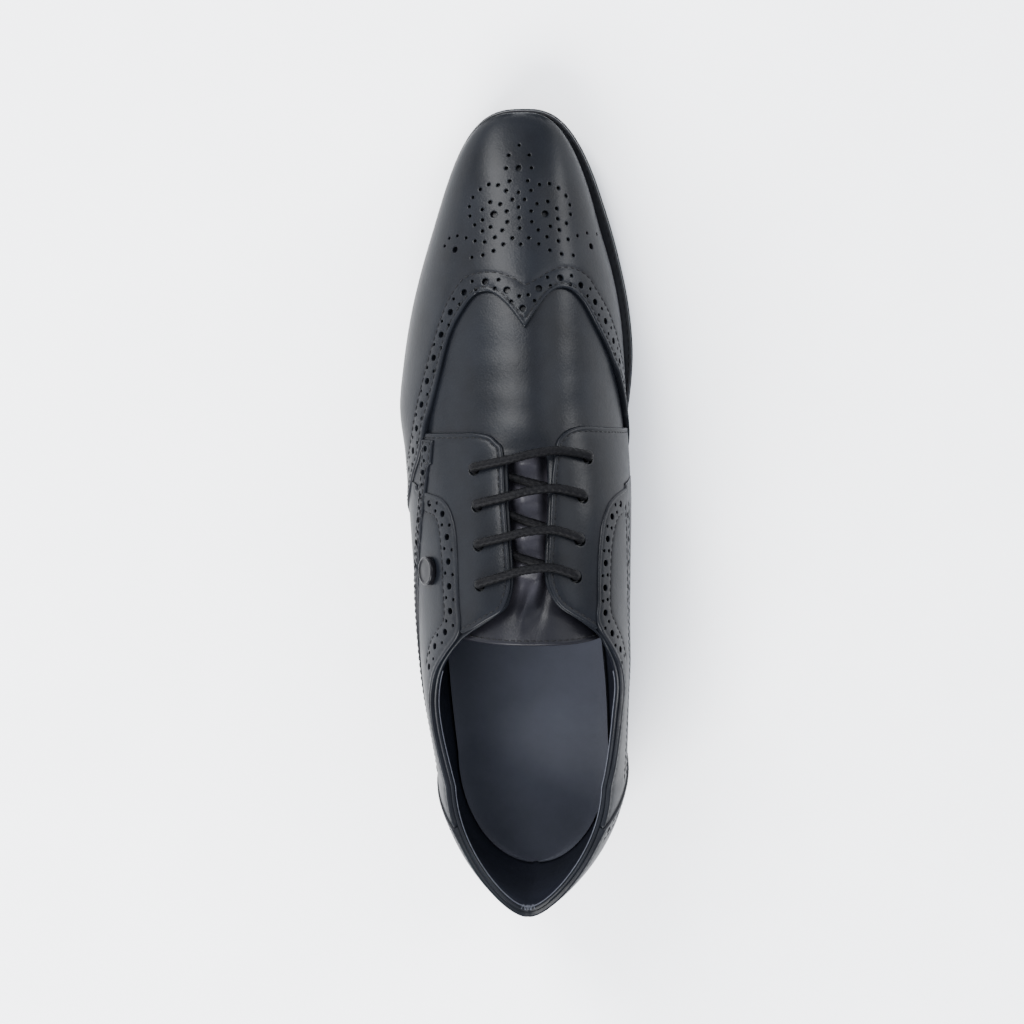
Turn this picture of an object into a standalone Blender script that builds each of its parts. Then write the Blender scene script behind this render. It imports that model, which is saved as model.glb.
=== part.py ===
"""Wing-tip derby brogue for the left foot: a lasted upper with its overlays on a welted leather-look sole.

Frame: X runs from the lateral side (-) to the medial side (+), Y from heel (-) to toe (+), Z up from the floor.
Tables are in millimetres; meshes are written in metres.
"""

from collections import namedtuple
import math

import bmesh
import bpy
import numpy as np

MM = 0.001
WELD = 0.01 * MM
CREASE = math.radians(40)
# The tables' zero lies on the toe axis; the part's origin is the middle of its base.
ORIGIN = np.array((-1.0, 0.4, 0.0))

# Last: one row per section across the foot.
# lateral / medial: side-to-side position of the widest line; *_foot: the same at the feather edge;
# wide_z: height of the widest line; ridge_*: top of the section; *_power: roundness of each shoulder.
Section = namedtuple(
    "Section", "y lateral medial lateral_foot medial_foot wide_z ridge_x ridge_z lateral_power medial_power"
)
SECTIONS = (
    Section(-101, -30.3, 40.7, -28.0, 37.2, 46, 5.0, 102.0, 2.10, 2.10),
    Section(-71, -34.4, 41.8, -31.0, 36.0, 44, 5.0, 107.0, 2.40, 3.00),
    Section(-58, -35.9, 42.4, -32.0, 34.8, 43, 5.6, 105.0, 2.25, 3.60),
    Section(-44, -37.3, 42.3, -33.0, 33.8, 42, 6.2, 101.0, 2.00, 3.20),
    Section(-18, -39.0, 42.7, -35.0, 33.0, 40, 7.2, 95.0, 1.95, 2.70),
    Section(4, -40.5, 43.0, -38.0, 34.6, 37, 7.3, 88.0, 1.90, 2.50),
    Section(22, -42.1, 42.3, -40.0, 37.0, 31, 7.0, 81.0, 1.90, 2.30),
    Section(40, -44.5, 40.9, -43.0, 39.0, 24, 6.6, 74.5, 1.90, 2.10),
    Section(56, -43.1, 40.2, -41.8, 38.8, 19, 6.2, 69.0, 1.95, 2.05),
    Section(74, -40.1, 38.7, -39.0, 37.4, 17, 5.6, 62.5, 2.00, 2.00),
    Section(92, -35.5, 35.3, -34.6, 34.2, 17, 4.8, 55.5, 2.05, 2.05),
    Section(108, -30.4, 30.9, -29.6, 30.0, 18, 3.8, 48.8, 2.10, 2.10),
    Section(119, -26.8, 28.1, -26.0, 27.2, 19, 3.0, 44.6, 2.15, 2.15),
)
HEEL_Y = -101.0
HEEL_REACH = 50.4
HEEL_POINT = 1.3
SEAT_ROUND = 0.8
TOE_Y = 119.0
TOE_REACH = 32.0
TOE_BLUNT = 0.35
TOE_SLOPE = -0.38
TOE_LIFT = 7.0
TOE_LIFT_POWER = 1.5
TOE_DROP_POWER = 3.0
WIDE_V = 0.72
HEEL_WAIST_Z = 46.0
LEAN_TOP_SPAN = 42.0
LEAN_TOP = 4.2
LEAN_FOOT_SPAN = 20.0
LEAN_FOOT = 2.6

# Sole: height of the tread's underside along the foot, and the outline of the sole edge.
Tread = namedtuple("Tread", "y z")
TREAD = (
    Tread(-154, 20.5),
    Tread(-120, 20.2),
    Tread(-88, 19.0),
    Tread(-60, 14.2),
    Tread(-30, 7.0),
    Tread(0, 2.0),
    Tread(22, 0.0),
    Tread(50, 0.0),
    Tread(78, 0.0),
    Tread(105, 2.0),
    Tread(130, 6.3),
    Tread(154, 12.2),
)
Edge = namedtuple("Edge", "y lateral medial")
SOLE_EDGE = (
    Edge(-101, -30.0, 39.2),
    Edge(-71, -33.0, 37.8),
    Edge(-44, -35.0, 35.8),
    Edge(-18, -37.2, 35.2),
    Edge(4, -40.2, 36.8),
    Edge(22, -44.6, 41.0),
    Edge(40, -47.4, 44.0),
    Edge(56, -46.0, 45.2),
    Edge(74, -42.6, 43.9),
    Edge(92, -37.8, 40.6),
    Edge(108, -32.9, 36.6),
    Edge(119, -29.3, 33.3),
)
SOLE_TOE_REACH = 35.0
SOLE_HEEL_REACH = 51.5
SOLE_MIDLINE = 4.0
OUTSOLE_THICK = 4.5
WELT_THICK = 2.2
FIT_GAP = 0.3
WELT_INSET = 0.4
WELT_LAP = 0.8
INSOLE_TOP = 9.6
HEEL_BREAST_Y = -86.0
HEEL_INSET = 0.7
STACK = OUTSOLE_THICK + FIT_GAP + WELT_THICK + FIT_GAP

# Upper wall and its overlays, as offsets from the last's outer face.
WALL = 2.0
OVERLAY_GAP = 0.6
WING_THICK = 1.2
FACING_THICK = 1.0
FOXING_THICK = 1.2
COUNTER_THICK = 1.3
FOOT_V = 0.985
SEAM = 0.8

# Collar: height of the top line along the foot, behind the facings.
Collar = namedtuple("Collar", "y z")
COLLAR = (
    Collar(-151.4, 89.0),
    Collar(-148, 88.3),
    Collar(-141, 86.0),
    Collar(-131, 83.0),
    Collar(-119, 80.0),
    Collar(-108, 78.3),
    Collar(-92, 77.2),
    Collar(-74, 77.8),
    Collar(-60, 80.0),
    Collar(-50, 83.4),
    Collar(-44, 86.4),
)
COLLAR_FRONT_Y = -44.0

# Throat: the opening between the facings, as positions round the section on each side.
Throat = namedtuple("Throat", "y lateral medial")
THROAT = (
    Throat(-38.7, -0.272, 0.345),
    Throat(-34.4, -0.210, 0.265),
    Throat(-30.5, -0.150, 0.190),
    Throat(-27.0, -0.100, 0.120),
    Throat(-22.2, -0.075, 0.076),
    Throat(-17.0, -0.065, 0.056),
    Throat(-10.4, -0.070, 0.055),
    Throat(3.5, -0.083, 0.068),
    Throat(16.9, -0.088, 0.083),
    Throat(21.0, -0.080, 0.080),
    Throat(26.0, -0.045, 0.050),
    Throat(30.0, 0.0, 0.0),
)
THROAT_FRONT_Y = 30.0

# Wing cap: where its rear edge lies on each line round the section.
Wing = namedtuple("Wing", "v y")
WING_LATERAL = (
    Wing(0.000, 74.4),
    Wing(0.060, 82.1),
    Wing(0.105, 85.9),
    Wing(0.147, 87.4),
    Wing(0.213, 85.0),
    Wing(0.252, 80.2),
    Wing(0.310, 68.7),
    Wing(0.348, 53.3),
    Wing(0.407, 34.6),
    Wing(0.535, 15.0),
    Wing(0.800, -5.0),
    Wing(1.000, -12.0),
)
WING_MEDIAL = (
    Wing(0.000, 74.4),
    Wing(0.062, 80.7),
    Wing(0.125, 85.9),
    Wing(0.198, 88.3),
    Wing(0.270, 86.9),
    Wing(0.340, 81.6),
    Wing(0.405, 73.0),
    Wing(0.495, 62.0),
    Wing(0.598, 49.0),
    Wing(0.667, 40.4),
    Wing(0.760, 30.0),
    Wing(0.880, 18.0),
    Wing(1.000, 8.0),
)

# Panels: one row per rib, from its upper edge to its lower edge, front to back.
Rib = namedtuple("Rib", "top_y top_v low_y low_v")
FACING_LATERAL = (
    Rib(36.1, -0.185, 35.6, -0.385),
    Rib(35.0, -0.128, 30.5, -0.408),
    Rib(31.3, -0.093, 25.0, -0.440),
    Rib(26.5, -0.090, 19.0, -0.480),
    Rib(20.0, -0.090, 14.2, -0.470),
    Rib(13.0, -0.089, 13.0, -0.400),
    Rib(9.0, -0.086, 11.6, -0.325),
    Rib(3.5, -0.083, 6.5, -0.288),
    Rib(-3.5, -0.076, 0.0, -0.272),
    Rib(-10.4, -0.070, -8.0, -0.266),
    Rib(-17.1, -0.065, -16.0, -0.263),
    Rib(-22.4, -0.075, -23.0, -0.261),
    Rib(-27.2, -0.100, -29.0, -0.260),
    Rib(-31.0, -0.158, -33.5, -0.261),
    Rib(-34.6, -0.213, -36.3, -0.261),
)
FACING_MEDIAL = (
    Rib(37.3, 0.245, 35.8, 0.560),
    Rib(35.6, 0.160, 30.5, 0.640),
    Rib(31.3, 0.123, 24.5, 0.660),
    Rib(26.5, 0.107, 18.0, 0.620),
    Rib(20.0, 0.090, 13.4, 0.540),
    Rib(13.0, 0.079, 11.7, 0.445),
    Rib(9.0, 0.074, 9.2, 0.370),
    Rib(3.5, 0.068, 3.7, 0.324),
    Rib(-3.5, 0.060, -4.0, 0.301),
    Rib(-10.4, 0.055, -11.0, 0.291),
    Rib(-16.0, 0.055, -17.0, 0.285),
    Rib(-21.9, 0.075, -23.5, 0.281),
    Rib(-26.2, 0.113, -28.5, 0.279),
    Rib(-30.1, 0.185, -32.0, 0.279),
    Rib(-32.8, 0.236, -33.8, 0.279),
)
FOXING_LATERAL = (
    Rib(12.0, -0.500, 11.6, -0.550),
    Rib(11.9, -0.420, 4.0, -0.660),
    Rib(11.0, -0.345, -2.5, -0.755),
    Rib(7.6, -0.306, -8.5, -0.860),
    Rib(1.2, -0.284, -14.5, -0.985),
    Rib(-7.5, -0.277, -21.0, -0.985),
    Rib(-16.0, -0.274, -28.0, -0.985),
    Rib(-26.0, -0.272, -36.0, -0.985),
    Rib(-36.5, -0.273, -44.0, -0.985),
)
FOXING_MEDIAL = (
    Rib(11.8, 0.560, 11.6, 0.690),
    Rib(11.2, 0.460, 9.0, 0.790),
    Rib(8.7, 0.385, 6.5, 0.890),
    Rib(3.0, 0.336, 3.5, 0.985),
    Rib(-4.5, 0.313, -5.0, 0.985),
    Rib(-11.0, 0.303, -14.0, 0.985),
    Rib(-17.0, 0.297, -22.0, 0.985),
    Rib(-25.0, 0.292, -31.0, 0.985),
    Rib(-33.8, 0.291, -41.0, 0.985),
)
# The rear of each foxing follows the collar: where a rib leaves the collar and where it meets the welt.
Drop = namedtuple("Drop", "collar_y foot_y")
FOXING_REAR = (
    Drop(-46.0, -50.0),
    Drop(-54.0, -56.0),
    Drop(-63.0, -62.0),
    Drop(-72.0, -68.0),
    Drop(-82.0, -74.0),
    Drop(-92.0, -79.5),
    Drop(-101.0, -84.0),
    Drop(-110.0, -88.0),
    Drop(-116.0, -91.0),
)
COUNTER_DROPS = (
    Drop(-116.8, -91.9),
    Drop(-124.0, -103.0),
    Drop(-131.5, -116.0),
    Drop(-138.0, -128.0),
    Drop(-143.5, -137.5),
    Drop(-147.6, -144.6),
    Drop(-150.2, -149.4),
    Drop(-151.4, -151.4),
)

# Lacing: the punched holes, numbered from the toe.
Hole = namedtuple("Hole", "y v")
HOLES_LATERAL = (Hole(22.7, -0.200), Hole(9.7, -0.193), Hole(-4.2, -0.190), Hole(-18.4, -0.184))
HOLES_MEDIAL = (Hole(26.0, 0.278), Hole(12.6, 0.230), Hole(-2.3, 0.203), Hole(-15.2, 0.178))
HOLE_RADIUS = 2.2
HOLE_SIDES = 10
LACE_RADIUS = 1.5
LACE_BEVEL = 2
LACE_TURN = 2.2
LACE_TURN_STEPS = 2
LACE_END = 2.5
BAR_STEPS = 7
DIAGONAL_STEPS = 6
BAR_BOW = 5.6
BAR_BOW_SKEW = 0.8

# Tongue: one row per section, with how far its upper face lies below the last and its two side edges.
Flap = namedtuple("Flap", "y depth lateral medial")
TONGUE = (
    Flap(38.0, 3.2, -0.10, 0.12),
    Flap(33.0, 4.4, -0.20, 0.24),
    Flap(27.0, 6.1, -0.25, 0.32),
    Flap(15.0, 6.2, -0.26, 0.31),
    Flap(0.0, 6.2, -0.26, 0.29),
    Flap(-15.0, 6.2, -0.27, 0.28),
    Flap(-26.0, 5.6, -0.28, 0.29),
    Flap(-34.0, 4.0, -0.300, 0.345),
    Flap(-40.5, 2.9, -0.335, 0.410),
)
TONGUE_THICK = 2.0
TONGUE_ACROSS = 6
TONGUE_ALONG = 9

# Round stud on the lateral foxing.
STUD = Hole(-17.1, -0.430)
STUD_RADIUS = 5.5
STUD_CROWN = 3.8
STUD_HEIGHT = 2.2
STUD_SIDES = 12

# Grid counts.
HEEL_STEPS = 9
BODY_STEPS = 26
TOE_STEPS = 10
SIDE_STEPS = 8
WING_BODY_STEPS = 11
WING_TOE_STEPS = 7
WING_ACROSS = 12
WING_CROWDING = 1.3
FACING_ALONG = 15
FACING_DOWN = 5
FOXING_ALONG = 23
FOXING_DOWN = 9
COUNTER_ALONG = 11
COUNTER_DOWN = 7
SOLE_STEPS = 20
BISECTIONS = 40

Finish = namedtuple("Finish", "name colour roughness")
LEATHER = Finish("black_calf_leather", (0.022, 0.023, 0.026), 0.38)
OVERLAY = Finish("black_calf_overlay", (0.020, 0.021, 0.024), 0.36)
SOLE_RUBBER = Finish("black_sole", (0.015, 0.015, 0.016), 0.55)
WELT_FINISH = Finish("black_welt", (0.018, 0.018, 0.020), 0.5)
SOCK = Finish("navy_sock", (0.030, 0.033, 0.045), 0.6)
CORD = Finish("waxed_lace", (0.012, 0.012, 0.013), 0.6)
STUD_FINISH = Finish("black_stud", (0.016, 0.016, 0.018), 0.35)


def column(rows, name):
    """One named column of a table as an array."""
    return np.array([getattr(row, name) for row in rows], float)


def smooth(x, knots, values):
    """Monotone cubic through the table's points, held level beyond its ends."""
    step = np.diff(knots)
    slope = np.diff(values) / step
    tangent = np.zeros(len(knots))
    weighted = (slope[:-1] * step[1:] + slope[1:] * step[:-1]) / (step[1:] + step[:-1])
    tangent[1:-1] = np.where(slope[:-1] * slope[1:] > 0, weighted, 0.0)
    tangent[0] = slope[0]
    tangent[-1] = slope[-1]
    x = np.clip(x, knots[0], knots[-1])
    i = np.clip(np.searchsorted(knots, x) - 1, 0, len(knots) - 2)
    t = (x - knots[i]) / step[i]
    rise = t * t * (3 - 2 * t)
    return (
        values[i] * (1 - rise)
        + values[i + 1] * rise
        + step[i] * t * (1 - t) * (tangent[i] * (1 - t) - tangent[i + 1] * t)
    )


def from_table(rows, name, x, key="y"):
    """A table's column read at x along its key column."""
    return smooth(np.asarray(x, float), column(rows, key), column(rows, name))


def tread_z(y):
    """Height of the underside of the sole."""
    return from_table(TREAD, "z", y)


def station(s, offset):
    """Position along the foot and share of the full width: s < 0 rounds the heel, s > 1 rounds the toe."""
    s = np.asarray(s, float)
    turn = np.clip(-s, 0, 1) * math.pi / 2
    share = np.clip(2 - s, 0, 1)
    body_y = HEEL_Y + (TOE_Y - HEEL_Y) * s
    heel_y = HEEL_Y - (HEEL_REACH + offset) * np.sin(turn)
    toe_y = TOE_Y + (TOE_REACH + offset) * (1 - share ** (1 / TOE_BLUNT))
    y = np.where(s < 0, heel_y, np.where(s > 1, toe_y, body_y))
    width = np.where(s < 0, np.maximum(np.cos(turn), 0) ** HEEL_POINT, np.where(s > 1, share, 1.0))
    width = np.where(s <= -1, 0.0, width)
    return y, width


def station_of(y):
    """The station at a position along the foot."""
    y = np.asarray(y, float)
    turn = np.arcsin(np.clip((HEEL_Y - y) / HEEL_REACH, 0, 1))
    share = np.clip(1 - (y - TOE_Y) / TOE_REACH, 0, 1) ** TOE_BLUNT
    body = (y - HEEL_Y) / (TOE_Y - HEEL_Y)
    return np.where(y < HEEL_Y, -turn * 2 / math.pi, np.where(y > TOE_Y, 2 - share, body))


def last(s, v, offset=0.0):
    """Points on the last: v runs from -1 at the lateral feather edge over the ridge to +1 at the medial one."""
    s, v, offset = np.broadcast_arrays(*(np.asarray(a, float) for a in (s, v, offset)))
    y, width = station(s, offset)
    row = {name: from_table(SECTIONS, name, np.clip(y, HEEL_Y, TOE_Y)) for name in Section._fields[1:]}
    lateral = v < 0
    side = np.where(lateral, -1.0, 1.0)
    toe = np.where(s > 1, np.clip((y - TOE_Y) / (TOE_REACH + offset), 0, 1), 0.0)
    wide_z = row["wide_z"] + TOE_LIFT * toe**TOE_LIFT_POWER
    ridge_z = row["ridge_z"] + offset + np.where(s > 1, TOE_SLOPE * (y - TOE_Y), 0.0)
    ridge_z = wide_z + (ridge_z - wide_z) * np.sqrt(np.maximum(1 - toe**TOE_DROP_POWER, 0))
    wide = (np.where(lateral, row["ridge_x"] - row["lateral"], row["medial"] - row["ridge_x"]) + offset) * width
    foot = np.where(lateral, row["ridge_x"] - row["lateral_foot"], row["medial_foot"] - row["ridge_x"])
    foot = (foot + offset) * np.where(s < 0, width**SEAT_ROUND, width)
    power = 2 / np.where(lateral, row["lateral_power"], row["medial_power"])
    turn = np.clip(np.abs(v) / WIDE_V, 0, 1) * math.pi / 2
    tuck = np.clip((np.abs(v) - WIDE_V) / (1 - WIDE_V), 0, 1)
    low = tuck > 0
    out = np.where(low, wide - (wide - foot) * tuck**2, wide * np.sin(turn) ** power)
    up = wide_z + (ridge_z - wide_z) * np.maximum(np.cos(turn), 0) ** power
    z = np.where(low, wide_z - (wide_z - tread_z(y) - STACK) * tuck, up)
    back = np.clip(-s, 0, 1)
    lean = LEAN_TOP * (np.maximum(z - HEEL_WAIST_Z, 0) / LEAN_TOP_SPAN) ** 2
    lean = lean + LEAN_FOOT * (np.maximum(HEEL_WAIST_Z - z, 0) / LEAN_FOOT_SPAN) ** 2
    return np.stack([row["ridge_x"] + side * out, y + back * lean, z], -1)


def at(y, v, offset=0.0):
    """Points on the last by position along the foot."""
    return last(station_of(y), v, offset)


def normal_at(y, v, offset=0.0):
    """Outward direction of the last at one point."""
    step = 0.01
    along = at(y + step, v, offset) - at(y - step, v, offset)
    across = at(y, v + step, offset) - at(y, v - step, offset)
    out = np.cross(across, along)
    out = out / np.linalg.norm(out)
    return out if out[2] > 0 else -out


def height_line(y, side, z):
    """Where a section reaches a height, as a position round the section."""
    s = station_of(y)
    near = np.zeros_like(s)
    far = np.full_like(s, WIDE_V)
    for _ in range(BISECTIONS):
        middle = (near + far) / 2
        above = last(s, side * middle)[..., 2] > z
        near = np.where(above, middle, near)
        far = np.where(above, far, middle)
    return side * (near + far) / 2


def opening(y, side):
    """Edge of the collar and throat opening, as a position round the section."""
    y = np.asarray(y, float)
    collar_y = np.minimum(y, COLLAR_FRONT_Y)
    collar = height_line(collar_y, side, from_table(COLLAR, "z", collar_y))
    front = height_line(np.array(COLLAR_FRONT_Y), side, COLLAR[-1].z)
    name = "lateral" if side < 0 else "medial"
    knots = np.append(COLLAR_FRONT_Y, column(THROAT, "y"))
    throat = smooth(y, knots, np.append(front, column(THROAT, name)))
    return np.where(y < COLLAR_FRONT_Y, collar, throat)


def material_of(finish):
    """The finish as a material."""
    material = bpy.data.materials.get(finish.name)
    if material:
        return material
    material = bpy.data.materials.new(finish.name)
    material.use_nodes = True
    shader = material.node_tree.nodes["Principled BSDF"]
    shader.inputs["Base Color"].default_value = (*finish.colour, 1.0)
    shader.inputs["Roughness"].default_value = finish.roughness
    shader.inputs["Metallic"].default_value = 0.0
    return material


def add_solid(name, finish, points, faces):
    """A closed mesh object from points in millimetres."""
    mesh = bpy.data.meshes.new(name)
    mesh.from_pydata([tuple(point) for point in (np.asarray(points) - ORIGIN) * MM], [], faces)
    work = bmesh.new()
    work.from_mesh(mesh)
    bmesh.ops.remove_doubles(work, verts=work.verts[:], dist=WELD)
    bmesh.ops.recalc_face_normals(work, faces=work.faces[:])
    work.to_mesh(mesh)
    work.free()
    mesh.shade_smooth()
    mesh.set_sharp_from_angle(angle=CREASE)
    mesh.materials.append(material_of(finish))
    solid = bpy.data.objects.new(name, mesh)
    bpy.context.scene.collection.objects.link(solid)
    return solid


def grid_faces(rows, columns, start):
    """Four-sided faces of a grid whose points are stored row by row from start."""
    return [
        (start + i * columns + j, start + i * columns + j + 1, start + (i + 1) * columns + j + 1,
         start + (i + 1) * columns + j)
        for i in range(rows - 1)
        for j in range(columns - 1)
    ]


def rim_faces(loop, outer, inner):
    """Faces that join an outer edge to the inner edge below it."""
    return [(outer + a, outer + b, inner + b, inner + a) for a, b in zip(loop[:-1], loop[1:])]


def add_sheet(name, finish, outer, inner, zipped=False):
    """A panel between two grids, closed round its edges; a zipped one meets itself along its last row."""
    rows, columns = outer.shape[:2]
    count = rows * columns
    points = np.concatenate([outer.reshape(-1, 3), inner.reshape(-1, 3)])
    faces = grid_faces(rows, columns, 0) + grid_faces(rows, columns, count)
    sides = (
        [i * columns for i in range(rows)],
        [i * columns + columns - 1 for i in range(rows)],
        list(range(columns)),
        [(rows - 1) * columns + j for j in range(columns)],
    )
    for loop in sides[:-1] if zipped else sides:
        faces += rim_faces(loop, 0, count)
    return add_solid(name, finish, points, faces)


def upper_stations():
    """Stations along the upper, one of them at the front of the throat."""
    throat = float(station_of(THROAT_FRONT_Y))
    heel = np.linspace(-1, 0, HEEL_STEPS + 1)[:-1]
    behind = int(round(BODY_STEPS * throat))
    body = np.concatenate(
        [np.linspace(0, throat, behind + 1)[:-1], np.linspace(throat, 1, BODY_STEPS - behind + 1)[:-1]]
    )
    toe = np.linspace(1, 2, TOE_STEPS + 1)
    return np.concatenate([heel, body, toe]), HEEL_STEPS + behind


def build_upper():
    """The hollow upper: a wall round the foot, open at the collar, at the throat and underneath."""
    stations, throat = upper_stations()
    y = station(stations, 0.0)[0]
    down = np.linspace(0, 1, SIDE_STEPS + 1)
    columns = SIDE_STEPS + 1
    points = []
    faces = []
    for side in (-1.0, 1.0):
        edge = np.where(np.arange(len(stations)) < throat, opening(y, side), 0.0)
        v = edge[:, None] + (side - edge[:, None]) * down[None, :]
        starts = []
        for offset in (0.0, -WALL):
            starts.append(sum(len(block) for block in points))
            block = last(stations[:, None], v, offset)
            points.append(block.reshape(-1, 3))
            faces += grid_faces(len(stations), columns, starts[-1])
        mouth = [i * columns for i in range(throat + 1)]
        feather = [i * columns + SIDE_STEPS for i in range(len(stations))]
        faces += rim_faces(mouth, *starts) + rim_faces(feather, *starts)
    solid = add_solid("upper", LEATHER, np.concatenate(points), faces)
    punch_holes(solid, HOLES_LATERAL + HOLES_MEDIAL)
    return solid


def wing_edge(v):
    """Position along the foot of the wing cap's rear edge."""
    lateral = from_table(WING_LATERAL, "y", np.abs(v), "v")
    return np.where(v < 0, lateral, from_table(WING_MEDIAL, "y", np.abs(v), "v"))


def wing_grid(offset):
    """Grid of the wing cap from its rear edge to the tip of the toe."""
    half = FOOT_V * np.linspace(0, 1, WING_ACROSS + 1) ** WING_CROWDING
    v = np.concatenate([-half[:0:-1], half])
    edge = station_of(wing_edge(v))
    body = np.linspace(0, 1, WING_BODY_STEPS + 1)[:-1, None]
    toe = np.linspace(1, 2, WING_TOE_STEPS + 1)[:, None]
    s = np.concatenate([edge + (1 - edge) * body, np.repeat(toe, len(v), axis=1)])
    return last(s, v[None, :], offset)


def resample(ribs, count):
    """Ribs spread evenly along a panel, eased between the rows of its table."""
    knots = np.arange(len(ribs), dtype=float)
    wanted = np.linspace(0, len(ribs) - 1, count + 1)
    ribs = np.array(ribs, float)
    return [smooth(wanted, knots, ribs[:, k]) for k in range(ribs.shape[1])]


def panel_grid(ribs, along, down, offset):
    """Grid of a panel from its ribs, kept a seam's width behind the wing cap."""
    top_y, top_v, low_y, low_v = resample(ribs, along)
    t = np.linspace(0, 1, down + 1)[None, :]
    y = top_y[:, None] + (low_y - top_y)[:, None] * t
    v = top_v[:, None] + (low_v - top_v)[:, None] * t
    return at(np.minimum(y, wing_edge(v) - SEAM), v, offset)


def foxing_ribs(front, side):
    """Ribs of a foxing: those of its front table, then those that hang from the collar."""
    rear = [
        Rib(drop.collar_y, float(opening(drop.collar_y, side)), drop.foot_y, side * FOOT_V) for drop in FOXING_REAR
    ]
    return list(front) + rear


def counter_grid(offset):
    """Grid of the heel counter, from its lateral edge round the back to its medial edge."""
    halves = []
    for side in (-1.0, 1.0):
        ribs = [
            Rib(drop.collar_y, float(opening(drop.collar_y, side)), drop.foot_y, side * FOOT_V)
            for drop in COUNTER_DROPS
        ]
        halves.append(panel_grid(ribs, COUNTER_ALONG, COUNTER_DOWN, offset))
    return np.concatenate([halves[0], halves[1][-2::-1]])


def add_panel(name, ribs, along, down, thick):
    """An overlay panel lying on the upper."""
    outer = panel_grid(ribs, along, down, OVERLAY_GAP + thick)
    inner = panel_grid(ribs, along, down, OVERLAY_GAP)
    return add_sheet(name, OVERLAY, outer, inner)


def frame_on(axis):
    """Two directions square to an axis."""
    axis = axis / np.linalg.norm(axis)
    first = np.cross(axis, (0.0, 1.0, 0.0))
    first = first / np.linalg.norm(first)
    return first, np.cross(axis, first)


def add_turned(name, finish, centre, axis, profile, sides):
    """A solid turned about an axis, from (radius, height) pairs that start and end off the axis."""
    first, second = frame_on(axis)
    angles = np.linspace(0, 2 * math.pi, sides, endpoint=False)
    ring = np.cos(angles)[:, None] * first + np.sin(angles)[:, None] * second
    points = np.concatenate([centre + radius * ring + height * axis for radius, height in profile])
    faces = [
        (k * sides + i, k * sides + (i + 1) % sides, (k + 1) * sides + (i + 1) % sides, (k + 1) * sides + i)
        for k in range(len(profile) - 1)
        for i in range(sides)
    ]
    faces.append(tuple(range(sides)))
    faces.append(tuple(range((len(profile) - 1) * sides, len(profile) * sides)))
    return add_solid(name, finish, points, faces)


def punch_holes(solid, holes):
    """Cuts the lace holes square through a wall."""
    reach = 5.0
    for number, hole in enumerate(holes):
        axis = normal_at(hole.y, hole.v)
        centre = at(hole.y, hole.v)
        profile = ((HOLE_RADIUS, -reach), (HOLE_RADIUS, reach))
        cutter = add_turned(f"punch_{solid.name}_{number}", CORD, centre, axis, profile, HOLE_SIDES)
        cutter.hide_render = True
        cutter.display_type = "WIRE"
        cut = solid.modifiers.new(f"hole_{number}", "BOOLEAN")
        cut.operation = "DIFFERENCE"
        cut.solver = "EXACT"
        cut.object = cutter


def hole_turn(hole, toward, over):
    """Lace through a hole and bent towards the next one, from the wall outwards."""
    axis = normal_at(hole.y, hole.v)
    centre = at(hole.y, hole.v)
    heading = toward - centre
    heading = heading - axis * (heading @ axis)
    heading = heading / np.linalg.norm(heading)
    base = OVERLAY_GAP + FACING_THICK - FIT_GAP if over else -WALL + FIT_GAP / 3
    sign = 1.0 if over else -1.0
    angles = np.linspace(0, math.pi / 2, LACE_TURN_STEPS + 1)
    return [
        centre + axis * (base + sign * LACE_TURN * math.sin(a)) + heading * LACE_TURN * (1 - math.cos(a))
        for a in angles
    ]


def run_between(start, end, offset, steps, bow):
    """Lace following the last's form between two holes, bowed towards the toe in its middle."""
    t = np.linspace(0, 1, steps + 1)[1:-1]
    y = start.y + (end.y - start.y) * t + bow * np.sin(math.pi * t**BAR_BOW_SKEW)
    return at(y, start.v + (end.v - start.v) * t, offset)


def lace_path():
    """The lace from its hidden medial end at the toe to its hidden lateral end at the top."""
    over = OVERLAY_GAP + FACING_THICK - FIT_GAP + LACE_TURN
    under = -WALL + FIT_GAP / 3 - LACE_TURN
    first = HOLES_MEDIAL[0]
    path = [at(first.y, first.v) - normal_at(first.y, first.v) * (WALL + LACE_END)]
    for number, (medial, lateral) in enumerate(zip(HOLES_MEDIAL, HOLES_LATERAL)):
        bar = run_between(medial, lateral, over, BAR_STEPS, BAR_BOW)
        path += hole_turn(medial, bar[1], True)
        path += list(bar[1:-1])
        path += hole_turn(lateral, bar[-2], True)[::-1]
        if number + 1 == len(HOLES_LATERAL):
            break
        following = HOLES_MEDIAL[number + 1]
        diagonal = run_between(lateral, following, under, DIAGONAL_STEPS, 0.0)
        path += hole_turn(lateral, diagonal[1], False)
        path += list(diagonal[1:-1])
        path += hole_turn(following, diagonal[-2], False)[::-1]
    final = HOLES_LATERAL[-1]
    path.append(at(final.y, final.v) - normal_at(final.y, final.v) * (WALL + LACE_END))
    return path


def build_laces():
    """One round cord laced in bars, as a bevelled curve."""
    curve = bpy.data.curves.new("laces", "CURVE")
    curve.dimensions = "3D"
    curve.bevel_depth = LACE_RADIUS * MM
    curve.bevel_resolution = LACE_BEVEL
    curve.use_fill_caps = True
    path = lace_path()
    spline = curve.splines.new("POLY")
    spline.points.add(len(path) - 1)
    for point, place in zip(spline.points, path):
        point.co = (*((place - ORIGIN) * MM), 1.0)
    curve.materials.append(material_of(CORD))
    bpy.context.scene.collection.objects.link(bpy.data.objects.new("laces", curve))


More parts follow.
